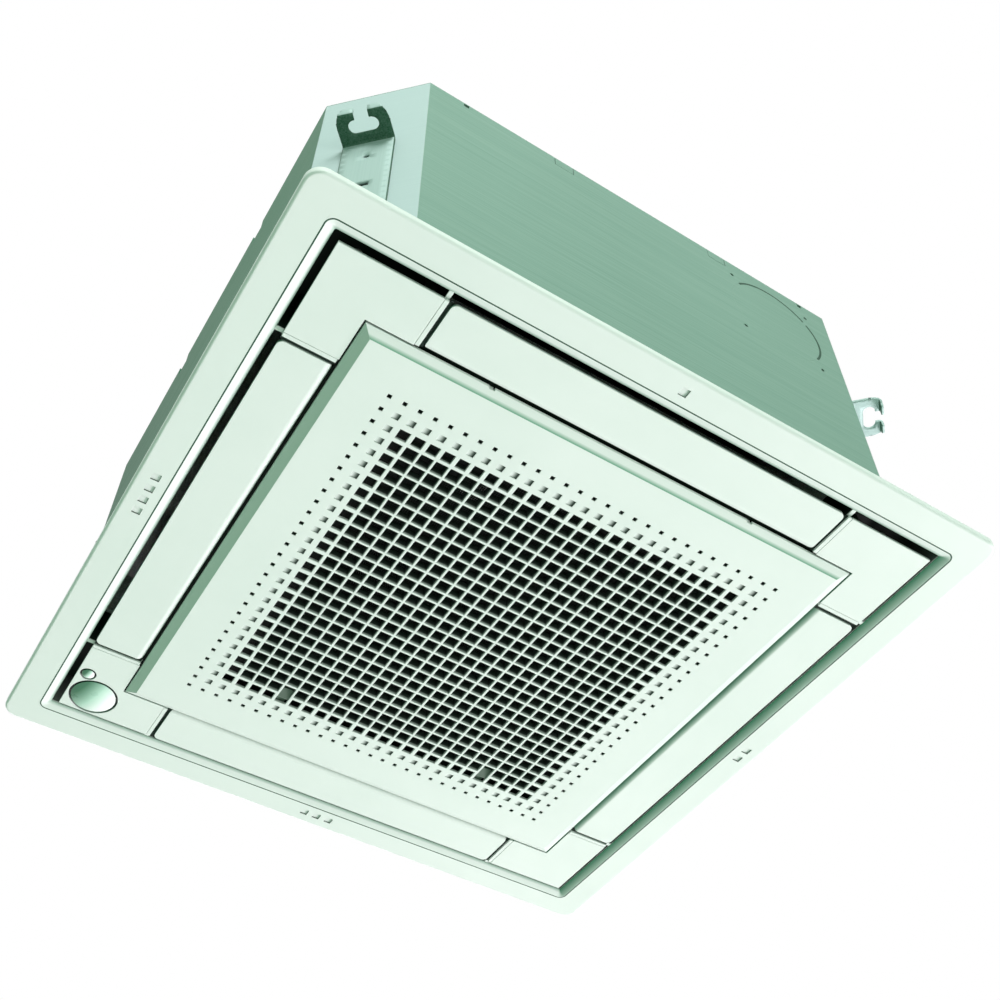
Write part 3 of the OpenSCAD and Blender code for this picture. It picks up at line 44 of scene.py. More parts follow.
# One material's node tree, with a short name for each node that the finishes below use
class Graph:
    def __init__(self, name):
        self.material = bpy.data.materials.new(name)
        self.material.use_nodes = True
        self.tree = self.material.node_tree
        self.tree.nodes.clear()
        self.out = self.add("ShaderNodeOutputMaterial")
        self.shader = self.add("ShaderNodeBsdfPrincipled")
        self.link(self.shader.outputs[0], self.out.inputs["Surface"])
        self.coords = self.add("ShaderNodeTexCoord").outputs["Object"]

    def add(self, kind, **settings):
        node = self.tree.nodes.new(kind)
        for key, value in settings.items():
            setattr(node, key, value)
        return node

    def link(self, source, target):
        self.tree.links.new(source, target)

    def put(self, socket, value):
        if isinstance(value, bpy.types.NodeSocket):
            self.link(value, socket)
        elif value is not None:
            socket.default_value = value

    def scaled(self, scale):
        node = self.add("ShaderNodeMapping")
        self.link(self.coords, node.inputs["Vector"])
        node.inputs["Scale"].default_value = scale
        return node.outputs[0]

    def noise(self, scale, detail=3.0, rough=0.5, vector=None):
        node = self.add("ShaderNodeTexNoise")
        self.link(vector or self.coords, node.inputs["Vector"])
        node.inputs["Scale"].default_value = scale
        node.inputs["Detail"].default_value = detail
        node.inputs["Roughness"].default_value = rough
        return node.outputs["Fac"]

    def cells(self, scale, feature="F1", vector=None):
        node = self.add("ShaderNodeTexVoronoi", feature=feature)
        self.link(vector or self.coords, node.inputs["Vector"])
        node.inputs["Scale"].default_value = scale
        return node.outputs["Distance"]

    def wave(self, scale, direction):
        node = self.add("ShaderNodeTexWave", bands_direction=direction)
        self.link(self.coords, node.inputs["Vector"])
        node.inputs["Scale"].default_value = scale
        return node.outputs["Fac"]

    def span(self, value, low, high, toLow=0.0, toHigh=1.0):
        node = self.add("ShaderNodeMapRange")
        self.put(node.inputs["Value"], value)
        for key, number in zip(("From Min", "From Max", "To Min", "To Max"), (low, high, toLow, toHigh)):
            node.inputs[key].default_value = number
        return node.outputs[0]

    # 1 past the given value and 0 before it, with a soft edge; before is the other way round
    def past(self, value, at, soft, full=1.0):
        return self.span(value, at - soft, at + soft, 0.0, full)

    def before(self, value, at, soft, full=1.0):
        return self.span(value, at + soft, at - soft, 0.0, full)

    def math(self, operation, a, b=None):
        node = self.add("ShaderNodeMath", operation=operation)
        self.put(node.inputs[0], a)
        self.put(node.inputs[1], b)
        return node.outputs[0]

    def times(self, *values):
        total = values[0]
        for value in values[1:]:
            total = self.math("MULTIPLY", total, value)
        return total

    def larger(self, a, b):
        return self.math("MAXIMUM", a, b)

    def mix(self, factor, a, b):
        node = self.add("ShaderNodeMix", data_type="RGBA")
        self.put(node.inputs[0], factor)
        self.put(node.inputs[6], a)
        self.put(node.inputs[7], b)
        return node.outputs[2]

    def axis(self, name):
        node = self.add("ShaderNodeSeparateXYZ")
        self.link(self.coords, node.inputs[0])
        return node.outputs[name]

    def away(self, name):
        return self.math("ABSOLUTE", self.axis(name))

    # Half width of the square round the middle that goes through a point
    def squareOut(self):
        return self.larger(self.away("X"), self.away("Y"))

    def facing(self, name):
        node = self.add("ShaderNodeSeparateXYZ")
        self.link(self.add("ShaderNodeTexCoord").outputs["Normal"], node.inputs[0])
        return node.outputs[name]

    def bump(self, height, strength, depth, normal=None):
        node = self.add("ShaderNodeBump")
        node.inputs["Strength"].default_value = strength
        node.inputs["Distance"].default_value = depth
        self.put(node.inputs["Height"], height)
        self.put(node.inputs["Normal"], normal)
        return node.outputs[0]

    def softEdges(self, radius):
        node = self.add("ShaderNodeBevel", samples=4)
        node.inputs["Radius"].default_value = radius
        return node.outputs[0]

    # 0 on flats and 1 on edges: how far the normal turns inside the given radius
    def wear(self, radius):
        dot = self.add("ShaderNodeVectorMath", operation="DOT_PRODUCT")
        self.link(self.softEdges(radius), dot.inputs[0])
        self.link(self.add("ShaderNodeNewGeometry").outputs["Normal"], dot.inputs[1])
        return self.span(dot.outputs["Value"], 0.99, 0.75)

    def finish(self, color, rough, metal=0.0, normal=None, **extra):
        self.put(self.shader.inputs["Base Color"], color)
        self.put(self.shader.inputs["Roughness"], rough)
        self.put(self.shader.inputs["Metallic"], metal)
        self.put(self.shader.inputs["Normal"], normal)
        for key, value in extra.items():
            self.shader.inputs[key].default_value = value
        return self.material


# Linear colour from 8 bit screen values
def rgb(*screen):
    def linear(v):
        return v / 12.92 if v <= 0.04045 else ((v + 0.055) / 1.055) ** 2.4
    return (*(linear(v / 255) for v in screen), 1.0)


# A colour made lighter or darker
def shaded(color, factor):
    return (*(min(1, c * factor) for c in color[:3]), 1)


# Satin moulded plastic: spark-eroded grain, faint flow marks, paler edges.
# The two optional mask functions say where painted shade lies, each given with the colour of that shade.
def mouldedPlastic(name, color, shade, rough=0.42, paintedDarkening=None, paintedDarkeningColor=None, rub=0.18, paintedShade=None, paintedShadeColor=None):
    edge, rubbed = 0.0006, (0.95, 0.97, 0.95, 1)
    g = Graph(name)
    tone = g.mix(g.span(g.noise(6.0, 4.0, 0.6), 0.3, 0.7), color, shade)
    tone = g.mix(g.span(g.noise(900.0, 2.0, 0.6), 0.35, 0.75, 0.0, 0.05), tone, shade)
    tone = g.mix(g.times(g.wear(edge * 1.5), rub), tone, rubbed)
    if paintedShade:
        tone = g.mix(paintedShade(g), tone, paintedShadeColor)
    if paintedDarkening:
        tone = g.mix(paintedDarkening(g), tone, paintedDarkeningColor)
    roughness = g.span(g.noise(40.0, 3.0), 0.3, 0.7, rough - 0.05, rough + 0.06)
    grain = g.bump(g.noise(1400.0, 2.0, 0.7), 0.18, 0.00004, g.softEdges(edge))
    return g.finish(tone, roughness, 0.0, grain, **{"Specular IOR Level": 0.35})


# Zinc coated sheet: fine rolling lines along one way, broad soft clouds and rubbed edges
rollingWays = {"walls": (4, 4, 600), "X": (4, 600, 600), "Z": (500, 500, 4)}


def galvanised(name, color, shade, way, paintedLight=None, paintedLightColor=None):
    edge, rough, metal = 0.0005, 0.55, 0.12
    bright, rubbed = (0.75, 0.86, 0.80, 1), (0.50, 0.62, 0.56, 1)
    g = Graph(name)
    lines = g.noise(2.0, 3.0, 0.6, g.scaled(rollingWays[way]))
    tone = g.mix(g.span(g.noise(4.5, 3.0, 0.5), 0.3, 0.7), shade, color)
    # The optional mask paints light or shade onto the sheet in the given colour
    if paintedLight:
        tone = g.mix(paintedLight(g), tone, paintedLightColor)
    tone = g.mix(g.span(lines, 0.32, 0.68, 0.0, 0.09), tone, bright)
    tone = g.mix(g.times(g.wear(edge * 2), 0.12), tone, rubbed)
    roughness = g.span(lines, 0.3, 0.75, rough + 0.015, rough - 0.015)
    normal = g.bump(lines, 0.012, 0.00002, g.softEdges(edge))
    return g.finish(tone, roughness, metal, normal, **{"Specular IOR Level": 0.2})


# Moulded bead foam: touching cells of 3 to 5 mm with dark seams, and near black on its outer faces
def beadFoam(name, color, shade):
    perMetre, outerDarkFrom, outerDarkSlant, soft = 260.0, 0.2860, 0.3544, 0.0002
    g = Graph(name)
    cells = g.cells(perMetre)
    tone = g.mix(g.span(g.cells(perMetre, "DISTANCE_TO_EDGE"), 0.0, 0.12), shade, color)
    tone = g.mix(g.span(g.noise(9.0), 0.35, 0.7, 0.0, 0.3), tone, shade)
    slant = g.times(g.math("ADD", g.away("X"), g.away("Y")), math.sqrt(0.5))
    outerDark = g.larger(g.past(g.squareOut(), outerDarkFrom, soft), g.past(slant, outerDarkSlant, soft))
    tone = g.mix(outerDark, tone, (0.02, 0.03, 0.025, 1))
    normal = g.bump(g.math("SUBTRACT", 1.0, cells), 0.5, 0.0006)
    return g.finish(tone, g.span(cells, 0.0, 0.8, 0.62, 0.8), 0.0, normal, **{"Subsurface Weight": 0.05})


# Matt rubber with a pale bloom in clouds
def rubber(name, color):
    g = Graph(name)
    tone = g.mix(g.span(g.noise(30.0, 4.0), 0.3, 0.7), color, shaded(color, 1.8))
    bloom = g.span(g.noise(11.0, 5.0, 0.7), 0.55, 0.8, 0.0, 0.2)
    tone = g.mix(bloom, tone, (0.2, 0.21, 0.2, 1))
    normal = g.bump(g.noise(500.0, 3.0, 0.7), 0.4, 0.00012, g.softEdges(0.0008))
    return g.finish(tone, g.span(bloom, 0.0, 0.2, 0.62, 0.8), 0.0, normal)


# Copper tube with brown oxide clouds and fine draw marks
def drawnCopper(name, color, shade):
    g = Graph(name)
    oxide = g.noise(45.0, 5.0, 0.6)
    tone = g.mix(g.span(oxide, 0.38, 0.66), color, shade)
    tone = g.mix(g.span(g.noise(300.0), 0.6, 0.8, 0.0, 0.4), tone, (0.08, 0.04, 0.03, 1))
    normal = g.bump(g.noise(700.0, 3.0), 0.2, 0.00004)
    return g.finish(tone, g.span(oxide, 0.3, 0.7, 0.24, 0.5), 1.0, normal)


# Brass with turning marks round its axis
def turnedBrass(name, axis):
    g = Graph(name)
    marks = g.wave(330.0, axis)
    tone = g.mix(g.span(g.noise(80.0, 4.0), 0.35, 0.7), (0.62, 0.43, 0.16, 1), (0.4, 0.27, 0.1, 1))
    normal = g.bump(marks, 0.55, 0.0005, g.softEdges(0.0006))
    return g.finish(tone, g.span(marks, 0.0, 1.0, 0.34, 0.22), 1.0, normal)


# Aluminium fins seen as fine upright lines on every face of the pack, its outer faces dark low down
def finPack(name):
    pitch, outerFace, soft = 0.0022, 0.20625, 0.00075
    g = Graph(name)
    across = g.math("ADD", g.axis("X"), g.axis("Y"))
    gap = g.span(g.math("SINE", g.times(across, 2 * math.pi / pitch)), -0.2, 0.7)
    tone = g.mix(gap, (0.05, 0.055, 0.06, 1), (0.66, 0.69, 0.7, 1))
    outer = g.past(g.squareOut(), outerFace, soft)
    tone = g.mix(g.times(outer, g.span(g.axis("Z"), 0.24, 0.14)), tone, (0.004, 0.006, 0.005, 1))
    tone = g.mix(g.span(g.noise(60.0, 3.0), 0.5, 0.75, 0.0, 0.3), tone, (0.35, 0.38, 0.38, 1))
    return g.finish(tone, 0.45, 0.6, g.bump(gap, 0.8, 0.0007))


# Thick stove enamel with faint orange peel
def paintedMetal(name, color):
    rough = 0.38
    g = Graph(name)
    peel = g.noise(320.0, 2.0, 0.4)
    tone = g.mix(g.span(g.noise(14.0, 4.0), 0.3, 0.7), color, shaded(color, 0.75))
    tone = g.mix(g.times(g.wear(0.0008), 0.3), tone, (0.35, 0.36, 0.36, 1))
    normal = g.bump(peel, 0.25, 0.00015, g.softEdges(0.0006))
    return g.finish(tone, g.span(peel, 0.3, 0.7, rough, rough + 0.1), 0.0, normal,
                    **{"Coat Weight": 0.3, "Coat Roughness": 0.25})


# Green solder mask with pale tracks, pads and darker ground areas
def circuitCard(name):
    g = Graph(name)
    tracks = g.span(g.cells(420.0, "DISTANCE_TO_EDGE", g.scaled((1, 0.35, 1))), 0.02, 0.05)
    tone = g.mix(tracks, (0.05, 0.3, 0.14, 1), (0.01, 0.12, 0.06, 1))
    tone = g.mix(g.span(g.cells(190.0), 0.12, 0.16), (0.6, 0.6, 0.55, 1), tone)
    return g.finish(tone, 0.35, 0.0, g.bump(tracks, 0.3, 0.0001, g.softEdges(0.0004)))


# Black plastic thread with a faint weave and some dust
def netThread(name):
    g = Graph(name)
    weave = g.times(g.wave(600.0, "X"), g.wave(600.0, "Y"))
    tone = g.mix(weave, (0.012, 0.014, 0.014, 1), (0.035, 0.04, 0.038, 1))
    tone = g.mix(g.span(g.noise(7.0, 4.0), 0.5, 0.8, 0.0, 0.25), tone, (0.12, 0.12, 0.11, 1))
    return g.finish(tone, 0.6, 0.0, g.bump(weave, 0.5, 0.0002))


# Sensor dome: painted shade, green, where it faces left and a painted highlight, white, where it faces right;
# the flange behind painted black as shade
def sensorLens(name):
    g = Graph(name)
    lean = g.math("ADD", g.facing("X"), g.times(g.facing("Y"), 0.35))
    tone = g.mix(g.span(lean, -0.34, -0.02), (0.05, 0.20, 0.11, 1), (0.50, 0.74, 0.62, 1))
    tone = g.mix(g.span(lean, -0.05, 0.28), tone, (0.90, 0.94, 0.92, 1))
    tone = g.mix(g.span(g.noise(30.0, 3.0), 0.35, 0.75, 0.0, 0.12), tone, (0.55, 0.70, 0.60, 1))
    tone = g.mix(g.past(g.axis("Z"), -0.0061, 0.0002), tone, nearBlack)
    return g.finish(tone, g.span(g.noise(90.0, 2.0), 0.3, 0.7, 0.26, 0.34), 0.0, g.softEdges(0.0003))


def zincScrew(name):
    g = Graph(name)
    rings = g.noise(900.0, 2.0)
    tone = g.mix(g.span(g.noise(120.0, 4.0), 0.35, 0.7), (0.62, 0.62, 0.6, 1), (0.4, 0.39, 0.34, 1))
    normal = g.bump(rings, 0.2, 0.00006, g.softEdges(0.0004))
    return g.finish(tone, g.span(rings, 0.3, 0.7, 0.24, 0.4), 1.0, normal)


# Where the panel is shaded: half widths out from the middle and heights, in metres

panelAt = {
    "channelEnd": 0.2759, "channelLow": -0.0015, "marks": (0.29025, 0.30075),  # frame
    "slope": (0.2832, 0.2762), "slopeEnd": (0.2788, 0.2757),  # shoulder
    "fullHoles": 0.1631, "blindMarks": (0.1646, 0.1721), "smallHoles": (0.1751, 0.1839),  # grille
    "pitch": 0.01295, "face": -0.0109, "rim": 0.2164,
}


# Painted shade: the channels behind the louvres and covers near black, and the upright walls of the marks
# darker
def paintedWellShade(g):
    most, z = g.squareOut(), g.axis("Z")
    channel = g.times(g.before(most, panelAt["channelEnd"], 0.0003), g.past(z, panelAt["channelLow"], 0.0005))
    upright = g.before(g.math("ABSOLUTE", g.facing("Z")), 0.5, 0.1)
    start, end = panelAt["marks"]
    band = g.times(g.past(most, start, 0.00025), g.before(most, end, 0.00025))
    return g.larger(channel, g.times(band, upright, g.before(z, -0.0053, 0.0001, 0.85)))


# Painted shade: the slope darkens towards the channel, most of all where it faces left
def shoulderShade(g):
    most = g.squareOut()
    left = g.times(g.span(g.facing("X"), -0.15, -0.35), g.span(most, *panelAt["slope"], 0.35, 0.97))
    return g.larger(left, g.span(most, *panelAt["slopeEnd"], 0.0, 0.65))


# Painted shade on the upright sides deep in the gaps, above the visible faces
def shadedSides(g):
    upright = g.span(g.math("ABSOLUTE", g.facing("Z")), 0.75, 0.45)
    return g.times(upright, g.past(g.axis("Z"), -0.00555, 0.00055), 0.6)


# Painted shade on the louvres' noses where they face left
def leftNoseShade(g):
    return g.span(g.facing("X"), -0.10, -0.75, 0.0, 0.85)


# Painted shade: the walls between the holes darken towards the filter, and each blind mark holds a painted
# shadow deepening towards +x
def paintedHoleShade(g):
    most, z, soft = g.squareOut(), g.axis("Z"), 0.0001
    face, smallFrom, smallTo = panelAt["face"], *panelAt["smallHoles"]
    holes = g.times(g.before(most, panelAt["fullHoles"], soft), g.span(z, face, -0.0078, 0.0, 0.97))
    small = g.times(g.past(most, smallFrom, soft), g.span(z, face, -0.0099, 0.0, 0.97),
                    g.before(most, smallTo, soft))
    markFrom, markTo = panelAt["blindMarks"]
    ring = g.times(g.past(most, markFrom, soft), g.before(most, markTo, soft))
    floor = g.times(g.past(z, -0.0106, 0.0002), g.before(z, -0.0092, 0.0002))
    cell = g.math("FRACT", g.math("ADD", g.times(g.axis("X"), 1 / panelAt["pitch"]), 0.5))
    marks = g.times(ring, floor, g.span(cell, 0.36, 0.68, 0.10, 0.93))
    return g.larger(g.larger(holes, small), marks)


# Painted shade on the rim's slope: most where it faces left, some where it faces right to tone down the light
# there, and along the inner crease of the near side
def rimShade(g):
    left = g.span(g.facing("X"), -0.2, -0.45, 0.0, 0.45)
    right = g.span(g.facing("X"), 0.2, 0.45, 0.0, 0.22)
    crease = g.times(g.span(g.axis("Z"), -0.0092, -0.0107, 0.0, 0.85), g.span(g.facing("Y"), -0.2, -0.45))
    return g.times(g.past(g.squareOut(), panelAt["rim"], 0.0003), g.larger(g.larger(left, right), crease))


# Painted shade on the left wall, darker towards the far end
def shadeTowardsFar(g):
    return g.span(g.axis("Y"), -0.20, 0.29)


# Painted sheen: the near left chamfer paler, where a lamp's reflection would lie
def nearLeftSlantSheen(g):
    return g.before(g.axis("X"), -0.2221, 0.0003)


# Painted shade on the underside of a left hook's plate, the cut edges of its leg, and the inner faces of all
# lips
hookAt = {"under": (0.1922, 0.1950), "legHalf": 0.029975, "lipsOut": 0.5435}


def hookShade(g):
    z, x, y = g.axis("Z"), g.axis("X"), g.axis("Y")
    low, high = hookAt["under"]
    under = g.times(g.past(z, low, 0.0002), g.before(z, high, 0.0002))
    across = g.math("MINIMUM", g.math("ABSOLUTE", g.math("ADD", x, y)),
                    g.math("ABSOLUTE", g.math("SUBTRACT", x, y)))
    both = g.times(g.larger(under, g.past(across, hookAt["legHalf"], 0.000075)), g.before(x, 0.0, 0.02))
    inwards = g.math("ADD", g.times(g.facing("X"), x), g.times(g.facing("Y"), y))
    outFar = g.past(g.math("ADD", g.away("X"), g.away("Y")), hookAt["lipsOut"], 0.001)
    return g.larger(both, g.times(g.span(inwards, -0.10, -0.28, 0.0, 0.95), outFar))


nearBlack = (0.007, 0.018, 0.012, 1)
panelTones = (rgb(230, 234, 231), rgb(224, 230, 226))
steelTones = ((0.186, 0.320, 0.258, 1), (0.168, 0.298, 0.236, 1))
chamferSheen = (0.47, 0.58, 0.58, 1)

panelWhite = mouldedPlastic("panelWhite", *panelTones)
# shoulderWhite, frameWhite, flapWhite and grilleWhite carry painted shade from the masks above
shoulderWhite = mouldedPlastic("shoulderWhite", *panelTones, paintedShade=shoulderShade, paintedShadeColor=(0.035, 0.230, 0.125, 1))
frameWhite = mouldedPlastic("frameWhite", *panelTones, paintedDarkening=paintedWellShade, paintedDarkeningColor=nearBlack)
flapWhite = mouldedPlastic("flapWhite", *panelTones, paintedDarkening=shadedSides, paintedDarkeningColor=(0.020, 0.075, 0.042, 1),
                           paintedShade=leftNoseShade, paintedShadeColor=(0.03, 0.20, 0.11, 1))
grilleWhite = mouldedPlastic("grilleWhite", *panelTones, paintedDarkening=paintedHoleShade, paintedDarkeningColor=nearBlack,
                             paintedShade=rimShade, paintedShadeColor=(0.08, 0.32, 0.18, 1))
lensWhite = sensorLens("lensWhite")
fanGrey = mouldedPlastic("fanGrey", rgb(92, 97, 97), rgb(78, 84, 84), rough=0.5)
bellGrey = mouldedPlastic("bellGrey", rgb(58, 62, 62), rgb(46, 50, 50), rough=0.55)
darkPlastic = mouldedPlastic("darkPlastic", rgb(40, 43, 43), rgb(28, 31, 31), rough=0.5)
pumpPlastic = mouldedPlastic("pumpPlastic", rgb(216, 218, 210), rgb(196, 200, 192), rough=0.4)
latchGrey = mouldedPlastic("latchGrey", rgb(92, 108, 96), rgb(80, 96, 84), rough=0.5)
seamShadeGrey = mouldedPlastic("seamShadeGrey", (0.030, 0.085, 0.055, 1), (0.020, 0.065, 0.040, 1), rough=0.7, rub=0.0)
shadowBlack = mouldedPlastic("shadowBlack", nearBlack, nearBlack, rough=0.9, rub=0.0)
sheetX = galvanised("sheetX", *steelTones, "X")
sheetWall = galvanised("sheetWall", *steelTones, "walls")
# The front wall's near left chamfer carries the painted sheen
sheetFront = galvanised("sheetFront", *steelTones, "walls", paintedLight=nearLeftSlantSheen, paintedLightColor=chamferSheen)
# The left wall as a shaded copy of the steel, darker and greener: painted shade
sheetLeftShaded = galvanised("sheetLeftShaded", (0.046, 0.200, 0.106, 1), (0.038, 0.184, 0.094, 1), "walls",
                       paintedLight=shadeTowardsFar, paintedLightColor=(0.020, 0.125, 0.062, 1))
sheetZ = galvanised("sheetZ", (0.48, 0.64, 0.58, 1), (0.42, 0.58, 0.52, 1), "Z")
hookZinc = galvanised("hookZinc", (0.42, 0.55, 0.53, 1), (0.38, 0.50, 0.47, 1), "Z",
                      paintedLight=hookShade, paintedLightColor=(0.014, 0.085, 0.042, 1))
foamWhite = beadFoam("foamWhite", rgb(240, 243, 240), rgb(206, 214, 208))
blackRubber = rubber("blackRubber", rgb(26, 27, 27))
copperTube = drawnCopper("copperTube", (0.72, 0.33, 0.2, 1), (0.4, 0.18, 0.11, 1))
brassX = turnedBrass("brassX", "X")
fins = finPack("fins")
motorBlack = paintedMetal("motorBlack", rgb(44, 46, 48))
card = circuitCard("card")
net = netThread("net")
zinc = zincScrew("zinc")

nodeMaterials = {
    "top_plate": sheetX, "front_wall": sheetFront, "right_wall": sheetWall, "back_wall": sheetWall,
    "left_wall": sheetLeftShaded, "knockout_disc": sheetWall, "hanger_near_left": hookZinc,
    "hanger_near_right": hookZinc, "hanger_far_right": hookZinc, "hanger_far_left": hookZinc,
    "foam_liner": foamWhite, "drain_pan": foamWhite, "panel_seal": blackRubber, "bell_mouth": bellGrey,
    "fan": fanGrey, "fan_shaft": zinc, "fan_nut": zinc, "fan_motor": motorBlack,
    "motor_mounts": blackRubber, "coil_fins": fins, "coil_end_plates": sheetZ, "coil_bends": copperTube,
    "gas_header": copperTube, "liquid_header": copperTube, "pipe_nuts": brassX, "pipe_plate": sheetWall,
    "partition": sheetZ, "drain_pump": pumpPlastic, "pump_impeller": pumpPlastic,
    "drain_hose": blackRubber, "drain_socket": darkPlastic, "float_stem": pumpPlastic, "float": foamWhite,
    "control_box": sheetWall, "control_cover": sheetWall, "circuit_board": card,
    "cable_gland": blackRubber, "panel_frame": frameWhite, "louvre_near": flapWhite,
    "louvre_right": flapWhite, "louvre_far": flapWhite, "louvre_left": flapWhite,
    "louvre_motors": darkPlastic, "louvre_bushes": darkPlastic, "cover_near_left": flapWhite,
    "cover_near_right": flapWhite, "cover_far_right": flapWhite, "cover_far_left": flapWhite,
    "sensor_dome": lensWhite, "sensor_pip": lensWhite, "suction_grille": grilleWhite,
    "hinge_pins": zinc, "filter_frame": darkPlastic, "filter_net": net, "latch_left": latchGrey,
    "latch_right": latchGrey, "panel_screws": zinc, "casing_screws": zinc,
}
for name, material in nodeMaterials.items():
    mesh = nodes[name].data
    mesh.materials.clear()
    mesh.materials.append(material)
print("materials", len(nodeMaterials))


# Surfaces: a grid of points worked out as whole arrays, then joined into faces

def gridFaces(rows, cols, wrapRows=False, wrapCols=False):
    i, j = np.meshgrid(np.arange(rows - (not wrapRows)), np.arange(cols - (not wrapCols)), indexing="ij")
    nextI, nextJ = (i + 1) % rows, (j + 1) % cols
    corners = (i * cols + j, nextI * cols + j, nextI * cols + nextJ, i * cols + nextJ)
    return np.stack(corners, -1).reshape(-1, 4)


# Stacks (points, faces) pairs into one pair
def gather(parts):
    points, faces, start = [], [], 0
    for partPoints, partFaces in parts:
        partPoints = np.asarray(partPoints, float).reshape(-1, 3)
        points.append(partPoints)
        faces += [[int(k) + start for k in face] for face in partFaces]
        start += len(partPoints)
    return np.concatenate(points), faces


# Puts points in mm and faces into a mesh that rides on a body
def makePiece(name, points, faces, material, body, replaced=(), crease=32):
    mesh = bpy.data.meshes.new(name)
    metres = np.asarray(points, float).reshape(-1, 3) * mm
    mesh.from_pydata(metres.tolist(), [], [list(map(int, f)) for f in faces])
    shell = bmesh.new()
    shell.from_mesh(mesh)
    bmesh.ops.recalc_face_normals(shell, faces=shell.faces)
    shell.to_mesh(mesh)
    shell.free()
    mesh.shade_smooth()
    mesh.set_sharp_from_angle(angle=math.radians(crease))
    mesh.materials.append(material)
    piece = bpy.data.objects.new(name, mesh)
    bpy.context.scene.collection.objects.link(piece)
    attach(piece, body)
    for node in replaced:
        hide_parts(node)
    return piece


# Rows that take a shape drawn along Z to the named axis
axisFrames = {"X": ((0, 1, 0), (0, 0, 1), (1, 0, 0)), "Z": ((1, 0, 0), (0, 1, 0), (0, 0, 1))}


# Points turned about the vertical through the middle
def spun(points, degrees):
    turn = math.radians(degrees)
    spin = ((math.cos(turn), math.sin(turn), 0), (-math.sin(turn), math.cos(turn), 0), (0, 0, 1))
    return np.asarray(points, float) @ np.array(spin)


# A profile of (radius, along) rows turned about an axis, with both ends closed by a fan.
# wobble(angle, along, radius) may bend the round rows, as a hexagon or a thread does.
def turned(profile, columns, place, alongAxis, wobble=None):
    profile = np.asarray(profile, float)
    angle = np.linspace(0, 2 * np.pi, columns, endpoint=False)
    along, radius = profile[:, 1:2] + 0 * angle, profile[:, :1] + 0 * angle
    if wobble:
        radius = wobble(angle[None, :] + 0 * along, along, radius)
    grid = np.stack((radius * np.cos(angle), radius * np.sin(angle), along), -1)
    rows = len(profile)
    faces = gridFaces(rows, columns, wrapCols=True).tolist()
    ends = np.array(((0, 0, profile[0, 1]), (0, 0, profile[-1, 1])), float)
    points = np.concatenate((grid.reshape(-1, 3), ends)) @ np.array(axisFrames[alongAxis], float)
    ring = np.arange(columns)
    for centre, row in ((rows * columns, 0), (rows * columns + 1, rows - 1)):
        fan = (ring + row * columns, (ring + 1) % columns + row * columns, 0 * ring + centre)
        faces += np.stack(fan, -1).tolist()
    return points + np.asarray(place, float), faces


def boxPart(low, high):
    x, y, z = np.meshgrid(*zip(low, high), indexing="ij")
    faces = ((0, 1, 3, 2), (4, 6, 7, 5), (0, 4, 5, 1), (2, 3, 7, 6), (0, 2, 6, 4), (1, 5, 7, 3))
    return np.stack((x, y, z), -1).reshape(-1, 3), faces


# Hangers: a flat blank with its slot and holes, folded by formula

hanger = {
    "thick": 2.3, "half": 21.5, "legLow": 45, "plateLow": 193.5, "rodOut": 376.888, "slot": (6.9, 5.6),
    "mouth": 6, "reach": 12, "lipTall": 9.5, "lipHalf": 16.5, "fold": 3.2, "lipFold": 2.4, "corner": 3,
    "legHole": (2.8, 26), "legSlot": (5.5, 3.5, 75), "casing": 287.5, "edgeStep": 0.8,
}
hangerPlaces = {  # in turn round the casing: the chamfer's cut, and whether the lips stand up
    "far_right": (71.7, True), "far_left": (65.4, False),
    "near_left": (65.4, True), "near_right": (71.7, False),
}


# Even-odd test of every point against a closed loop
def inside(points, loop):
    x, y = points[:, :1], points[:, 1:]
    ax, ay = loop[:, 0], loop[:, 1]
    bx, by = np.roll(ax, -1), np.roll(ay, -1)
    crosses = (ay > y) != (by > y)
    at = ax + (y - ay) * (bx - ax) / np.where(by == ay, 1, by - ay)
    return (crosses & (x < at)).sum(1) % 2 == 1


# Points along a closed loop of corners, no further apart than step
def resampled(corners, step):
    corners = np.asarray(corners, float)
    run = []
    for start, end in zip(corners, np.roll(corners, -1, axis=0)):
        count = max(1, int(np.ceil(np.linalg.norm(end - start) / step)))
        run.append(start + (end - start) * np.arange(count)[:, None] / count)
    return np.concatenate(run)


def arc(cx, cy, radius, start, end, count=12):
    a = np.radians(np.linspace(start, end, count))
    return np.stack((cx + radius * np.cos(a), cy + radius * np.sin(a)), -1)


# Triangulates the outline (first loop) less its holes, with extra points on the given rows and columns,
# then folds every point by fold(across, along)
def foldedBlank(loops, columns, rows, fold):
    clear = 0.4  # extra points keep this far from the edges
    u, v = np.meshgrid(columns, rows)
    extra = np.stack((u.ravel(), v.ravel()), -1)
    keep = inside(extra, loops[0])
    for loop in loops[1:]:
        keep &= ~inside(extra, loop)
    for loop in loops:
        keep &= np.linalg.norm(extra[:, None] - loop[None], axis=2).min(1) > clear
    flat = np.concatenate(list(loops) + [extra[keep]])
    edges, start = [], 0
    for loop in loops:
        n = len(loop)
        edges += [(start + k, start + (k + 1) % n) for k in range(n)]
        start += n
    made = delaunay_2d_cdt([Vector(p) for p in flat], edges, [], 0, 1e-5)
    flat = np.array([tuple(p) for p in made[0]])
    faces = np.array([f for f in made[2] if len(f) == 3])
    middle = flat[faces].mean(1)
    keep = inside(middle, loops[0])
    for loop in loops[1:]:
        keep &= ~inside(middle, loop)
    return fold(flat[:, 0], flat[:, 1]), faces[keep]


def chamferOut(cut):
    return (2 * hanger["casing"] - cut) / math.sqrt(2)


